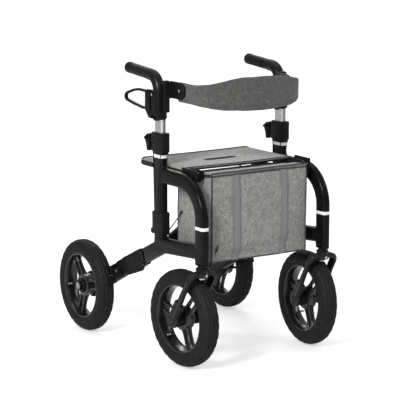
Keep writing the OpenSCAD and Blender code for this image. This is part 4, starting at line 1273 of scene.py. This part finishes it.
def make_bag():
    """Open bag with a lining, piping, two webbing strips, and the fixed strip behind the lid."""
    pts, tags = bag_outline()
    n = len(pts)
    rows = 30
    rings = []
    for j in range(rows + 1):
        t = j / rows
        ring = []
        for x, y in pts:
            top = lid_z(y) - 11
            z = top + (BAG_BOTTOM + 4 - top) * t
            flare = min(max((-285 - y) / 40, 0), 1)
            ring.append((x * (1 + 0.018 * flare), y, z))
        rings.append(ring)
    # round bottom edge, then the floor
    cy = (BAG_REAR + BAG_FRONT) / 2
    for share in (0.992, 0.96, 0.8, 0.6, 0.4, 0.2):
        z = BAG_BOTTOM + (1.5 if share > 0.98 else 0.6)
        rings.append([(x * share, cy + (y - cy) * share, z) for x, y in pts])
    verts = [p for ring in rings for p in ring]
    faces = []
    for i in range(len(rings) - 1):
        a, b = i * n, (i + 1) * n
        faces += [(a + k, b + k, b + (k + 1) % n, a + (k + 1) % n) for k in range(n)]
    faces.append(tuple(range(len(verts) - n, len(verts))))
    shell = build("bag_shell", (verts, faces), [BAG_CLOTH, LINING], angle=70)
    # outward normals
    mesh = shell.data
    face = mesh.polygons[n * 4]
    if (Vector(face.center) - Vector((0, cy * MM, 0.45))).dot(face.normal) < 0:
        mesh.flip_normals()
    pins = list(range(2 * n))
    pins += [i for i in range((rows + 1) * n) if tags[i % n] == "corner"]
    inflate(shell, 0.005, 0.9, 6, pins=pins, gravity=0.1, remesh=False)
    xyz = np.array([v.co for v in mesh.vertices]) / MM
    ripple = np.array([noise.noise(Vector(p) * 0.02) * 1.8 + noise.noise(Vector(p) * 0.055) * 0.7
                       for p in xyz])
    normals = np.array([v.normal for v in mesh.vertices])
    inside = np.arange(len(xyz)) >= 2 * n
    xyz += normals * (ripple * inside)[:, None]
    reach = np.where((xyz[:, 1] > -300) & (xyz[:, 2] > 555), BAG_X + 0.5, BAG_X + 9)
    xyz[:, 0] = np.clip(xyz[:, 0], -reach, reach)
    xyz[:, 1] = np.clip(xyz[:, 1], BAG_FRONT - 7, BAG_REAR + 8)
    mesh.vertices.foreach_set("co", (xyz * MM).ravel())
    mesh.update()

    trim, webs = Shape(), Shape()
    # piping down the four corners, round the bottom and along the open rim
    for k, tag in enumerate(tags):
        if tag == "corner":
            column = [Vector(xyz[j * n + k]) for j in range(rows + 1)]
            out = Vector((math.copysign(1, column[5].x), math.copysign(1, column[5].y - cy), 0)).normalized()
            trim.add(tube([p + out * 0.8 for p in column], 2.3, 10, out))
    for row in (rows, 0):
        loop = [Vector(xyz[row * n + k]) for k in range(n)]
        trim.add(sweep(loop, circle(2.3 if row else 2.0, 10), (0, 0, 1), closed=True))
    # two webbing strips down the front
    front = [k for k in range(n) if tags[k] == "flat" and pts[k][1] < BAG_FRONT + 6]
    front.sort(key=lambda k: pts[k][0])
    for x in (-88, 88):
        k = min(front, key=lambda k: abs(pts[k][0] - x))
        near = [k - 1, k, k + 1]
        column = []
        for j in range(0, rows + 1):
            column.append(Vector((x, min(xyz[j * n + q][1] for q in near), xyz[j * n + k][2])))
        webs.add(strip(column, [(0, -1, 0)] * len(column), (1, 0, 0), 26, 1.5, 0.3))
        for side in (-1, 1):
            row = [p + Vector((side * 10.5, -1.9, 0)) for p in column]
            for stitch in stitches(row, [(0, -1, 0)] * len(row)):
                webs.add(stitch, 1)
    mod = shell.modifiers.new("thick", "SOLIDIFY")
    mod.thickness, mod.offset, mod.material_offset, mod.use_even_offset = 0.0035, -1, 1, True
    mod.material_offset_rim = 0
    apply_modifiers(shell)
    subdivide(shell)

    # the fixed strip behind the lid
    flap = Shape()
    rings = []
    # the front edge dips under the lid's hinge line
    for y in (-230.2, -228.2, -226.4, *np.linspace(-223.5, -136.7, 13)):
        sag = 1.2 * math.sin(math.pi * (y + 230.2) / 93.5)
        z = lid_z(y) - 1.5 - sag - 5.5 * max(0, 1 - (y + 230.2) / 6)
        rings.append([(x, y, z - 0.8 * (1 - (x / BAG_X) ** 2) + dz) for x, dz in
                      [*((-172 + 344 * i / 24, 0) for i in range(25)),
                       *((172 - 344 * i / 24, -4.5) for i in range(25))]])
    flap.add(loft(rings))
    top = build("bag_top_strip", flap, BAG_CLOTH, angle=50)

    pieces = [shell, top, build("bag_piping", trim, PIPING), build("bag_webbing", webs, [STRAP_GREY, THREAD])]
    for piece in pieces:
        attach(piece, "right_side")
    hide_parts("bag")
    for piece in pieces:
        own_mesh(piece)


def make_lid():
    """Padded lid with a lip over the bag's front edge, piping and a row of stitches."""
    front, hinge = -333, -232.6
    low = lid_z(hinge)
    outline = [(front + 1.2, 596.2), (hinge - 30, lid_z(hinge - 30) - 1.2), (hinge, low - 3),
               (hinge, low - 6), (hinge - 8, low - 7.2), (front + 2.4, 588.4), (front + 0.4, 588.4)]
    outline = fillet([(y, z, 0.8) for y, z in outline], 3)
    panel = build("bag_lid_panel", plate(outline, -BAG_X, BAG_X, 1.6), BAG_CLOTH)
    inflate(panel, 0.004, 2.2, 2.2, gravity=0)
    xyz = np.array([v.co for v in panel.data.vertices]) / MM
    wobble = np.array([noise.noise(Vector(p) * 0.018) for p in xyz])
    crown = np.clip(1 - (xyz[:, 0] / 174) ** 2, 0, 1)
    dip = 1.4 * crown * np.clip((xyz[:, 1] - front) / 40, 0, 1)
    xyz[:, 2] += (wobble * 1.2 - dip) * (xyz[:, 1] > front + 6)
    xyz[:, 1] = np.clip(xyz[:, 1], front - 0.8, hinge)
    # the part next to the hinge stays low, so that the raised lid clears the seat
    rear = xyz[:, 1] > hinge - 45
    xyz[rear, 2] = np.minimum(xyz[rear, 2], lid_z(xyz[rear, 1]) - 1.5)
    panel.data.vertices.foreach_set("co", (xyz * MM).ravel())
    subdivide(panel)
    trim, seam = Shape(), Shape()
    line = [(x, front + 1.4, 596.2) for x in np.linspace(-BAG_X, BAG_X, 40)]
    trim.add(tube(line, 2.0, 10, (0, 0, 1)))
    for side in (-1, 1):
        line = [(side * BAG_X, y, lid_z(y) - 4.2) for y in np.linspace(front + 2, hinge - 2, 24)]
        trim.add(tube(line, 1.9, 10))
    row = [(x, front + 9, lid_z(front + 9)) for x in np.linspace(-168, 168, 60)]
    row, normals = onto(panel, row, [(0, 0, 1)] * 60, 0.1)
    for stitch in stitches(row, normals):
        seam.add(stitch, 1)
    pieces = [panel, build("bag_lid_piping", trim, PIPING)]
    pieces.append(build("bag_lid_stitching", seam, [THREAD, THREAD]))
    for piece in pieces:
        attach(piece, "lid")
        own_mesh(piece)
    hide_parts("bag_lid")


def make_stays():
    """Braided cords from the lower collars to the bag's rear edge."""
    for side in SIDES:
        k = 1 if side == "left" else -1
        a, b = Vector((k * 204.5, -122, 384)), Vector((k * 178, -168, 455))
        span, along = b - a, (b - a).normalized()
        path = [a + span * (i / 14) + Vector((0, 0, -3 * math.sin(math.pi * (i / 14)))) for i in range(15)]
        fine = [path[j] + (path[j + 1] - path[j]) * q / 6 for j in range(14) for q in range(6)]
        rings = []
        for i, (p, _, u, v) in enumerate(frames_along([*fine, path[-1]], (0, 1, 0))):
            rings.append([p + (u * math.cos(t) + v * math.sin(t)) * (1.7 + 0.22 * math.cos(3 * t + i * 0.9))
                          for t in [2 * math.pi * q / 18 for q in range(18)]])
        cord = Shape(loft(rings))
        for ends in ([a - along * 3, a + along * 6], [b - along * 7, b + along]):
            cord.add(tube(ends, 3.4, 14, (0, 1, 0)), 1)
        obj = build(f"bag_stay_{side}", cord, [STRAP_BLACK, PLASTIC])
        attach(obj, "right_side", ["bag_stays"] if side == "right" else ())
        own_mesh(obj)


BAND_X, BAND_BOW_Y, BAND_FRONT_Y, BAND_T = 192, -239, -345, 15


def band_point(t, inset):
    """Place on the backrest band at t from 0, left end, to 1, right end, inset from its outer face."""
    tail = 0.135
    turn = 1 - 2 * tail
    if t < tail:
        return (BAND_X - inset, -162 + (BAND_BOW_Y + 162) * t / tail), (1, 0)
    if t > 1 - tail:
        return (inset - BAND_X, -162 + (BAND_BOW_Y + 162) * (1 - t) / tail), (-1, 0)
    a = math.pi * (t - tail) / turn
    rx, ry = BAND_X - inset, BAND_BOW_Y - BAND_FRONT_Y - inset
    normal = Vector((math.cos(a) * ry, -math.sin(a) * rx)).normalized()
    return (rx * math.cos(a), BAND_BOW_Y - ry * math.sin(a)), (normal.x, normal.y)


def band_edge(x, sign):
    """Height of the band's upper (sign 1) or lower (sign -1) edge above its middle line."""
    if sign > 0:
        t = min(max((BAND_X + 2 - abs(x)) / (BAND_X - 52), 0), 1)
        return 25 + 23 * t * t * (3 - 2 * t)
    return -33 - 20 * (1 - min(abs(x) / BAND_X, 1) ** 3)


def make_backrest():
    """Padded band bowed between the two plates, with piping and stitches along its edges."""
    count = 110
    rings = []
    for i in range(count + 1):
        t = i / count
        (x, y), n = band_point(t, BAND_T / 2)
        top, low = band_edge(x, 1), band_edge(x, -1) - 2.5
        rings.append([(x + n[0] * a, y + n[1] * a, BAND_Z + (top + low) / 2 + b)
                      for a, b in rounded_rect(BAND_T - 5, top - low, 4.5, 4)])
    band = build("backrest_band", loft(rings), [BAND_CLOTH])
    inflate(band, 0.005, 4.0, 4.5)
    subdivide(band)
    seams = Shape()
    places = [band_point(i / count, BAND_T / 2) for i in range(2, count - 1)]
    for sign in (-1, 1):
        line = [(x, y, BAND_Z + band_edge(x, sign)) for (x, y), _ in places]
        line, _ = onto(band, line, [(0, 0, sign)] * len(line), -0.7)
        seams.add(tube(evened(line), 2.2, 10, (0, 0, 1)))
        for face in (1, -1):
            normals = [(n[0] * face, n[1] * face, 0) for _, n in places[2:-2]]
            row = [(x, y, BAND_Z + band_edge(x, sign) - 9 * sign) for (x, y), _ in places[2:-2]]
            row, normals = onto(band, row, normals, 0.1)
            for stitch in stitches(evened(row, 1), normals, 6.0, 3.8, 0.5):
                seams.add(stitch, 1)
    pieces = [band, build("backrest_piping", seams, [PIPING, THREAD])]
    for piece in pieces:
        attach(piece, "right_handle")
    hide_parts("backrest")
    for piece in pieces:
        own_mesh(piece)


# ---------- the whole walker ----------

for side_name in SIDES:
    frame_side(side_name)
    leg_side(side_name)
    collars_side(side_name)
    handle_side(side_name)
    levers_side(side_name)
    fork_side(side_name)
    wheel_side(side_name, "front")
    wheel_side(side_name, "rear")
    catch_side(side_name)
fold_parts()
make_seat()
make_bag()
make_lid()
make_stays()
make_backrest()


# ---------- floor, light and camera ----------

FLOOR_R = 45.0


def floor():
    """White disc, which also glows where the camera sees it directly."""
    mat, tree, bsdf = shader_tree("floor_white")
    tone = ramp(tree, noise_field(tree, 3.0), [(0.3, 0.86), (0.7, 0.90)])
    tree.links.new(tone, bsdf.inputs["Base Color"])
    bsdf.inputs["Roughness"].default_value = 0.6
    bsdf.inputs["Emission Color"].default_value = (1, 1, 1, 1)
    # the glow grows away from the walker, so that the floor stays white out there too
    place = node(tree, "ShaderNodeTexCoord").outputs["Object"]
    distance = node(tree, "ShaderNodeVectorMath", operation="LENGTH")
    tree.links.new(place, distance.inputs[0])
    glow = node(tree, "ShaderNodeMapRange")
    for socket, value in (("From Min", 1.5), ("From Max", 6.0), ("To Min", 0.42), ("To Max", 0.80)):
        glow.inputs[socket].default_value = value
    tree.links.new(distance.outputs["Value"], glow.inputs["Value"])
    seen = node(tree, "ShaderNodeMath", operation="MULTIPLY")
    tree.links.new(glow.outputs["Result"], seen.inputs[0])
    tree.links.new(node(tree, "ShaderNodeLightPath").outputs["Is Camera Ray"], seen.inputs[1])
    tree.links.new(seen.outputs["Value"], bsdf.inputs["Emission Strength"])
    mesh = bpy.data.meshes.new("floor")
    rim = [(FLOOR_R * math.cos(a), FLOOR_R * math.sin(a), 0)
           for a in [math.pi * k / 32 for k in range(64)]]
    mesh.from_pydata(rim, [], [tuple(range(64))])
    mesh.materials.append(mat)
    obj = bpy.data.objects.new("floor", mesh)
    bpy.context.scene.collection.objects.link(obj)


def area_light(name, place, target, size, power, tone=(1, 1, 1)):
    data = bpy.data.lights.new(name, "AREA")
    data.shape, data.size, data.size_y = "RECTANGLE", size[0], size[1]
    data.energy, data.color = power, tone
    obj = bpy.data.objects.new(name, data)
    obj.location = place
    obj.rotation_euler = (Vector(target) - Vector(place)).to_track_quat("-Z", "Y").to_euler()
    bpy.context.scene.collection.objects.link(obj)


floor()
area_light("key", (-3.5, -2.0, 2.6), (0, 0, 0.4), (1.3, 1.3), 150)
area_light("front_fill", (-0.6, -3.8, 2.6), (0, 0, 0.5), (2.4, 1.8), 5)
area_light("right_strip", (3.4, -1.7, 2.0), (0, 0, 0.5), (1.2, 2.6), 34)
area_light("top", (0.2, 0.6, 3.8), (0, 0, 0.4), (3.0, 3.0), 30)
area_light("back_rim", (1.6, 3.4, 2.6), (0, 0, 0.5), (2.4, 1.6), 34)

world = bpy.data.worlds.new("studio")
world.use_nodes = True
world.node_tree.nodes["Background"].inputs["Color"].default_value = (1, 1, 1, 1)
world.node_tree.nodes["Background"].inputs["Strength"].default_value = 0.34
bpy.context.scene.world = world
bpy.context.scene.view_settings.view_transform = "Standard"

camera_data = bpy.data.cameras.new("camera")
camera_data.sensor_width = 36
camera_data.lens = 149.7
camera = bpy.data.objects.new("camera", camera_data)
camera.location = (-2.859, -4.366, 1.460)
camera.rotation_euler = (math.radians(90 - 11.004), 0, math.radians(-33.204))
bpy.context.scene.collection.objects.link(camera)
bpy.context.scene.camera = camera

bpy.context.view_layer.update()
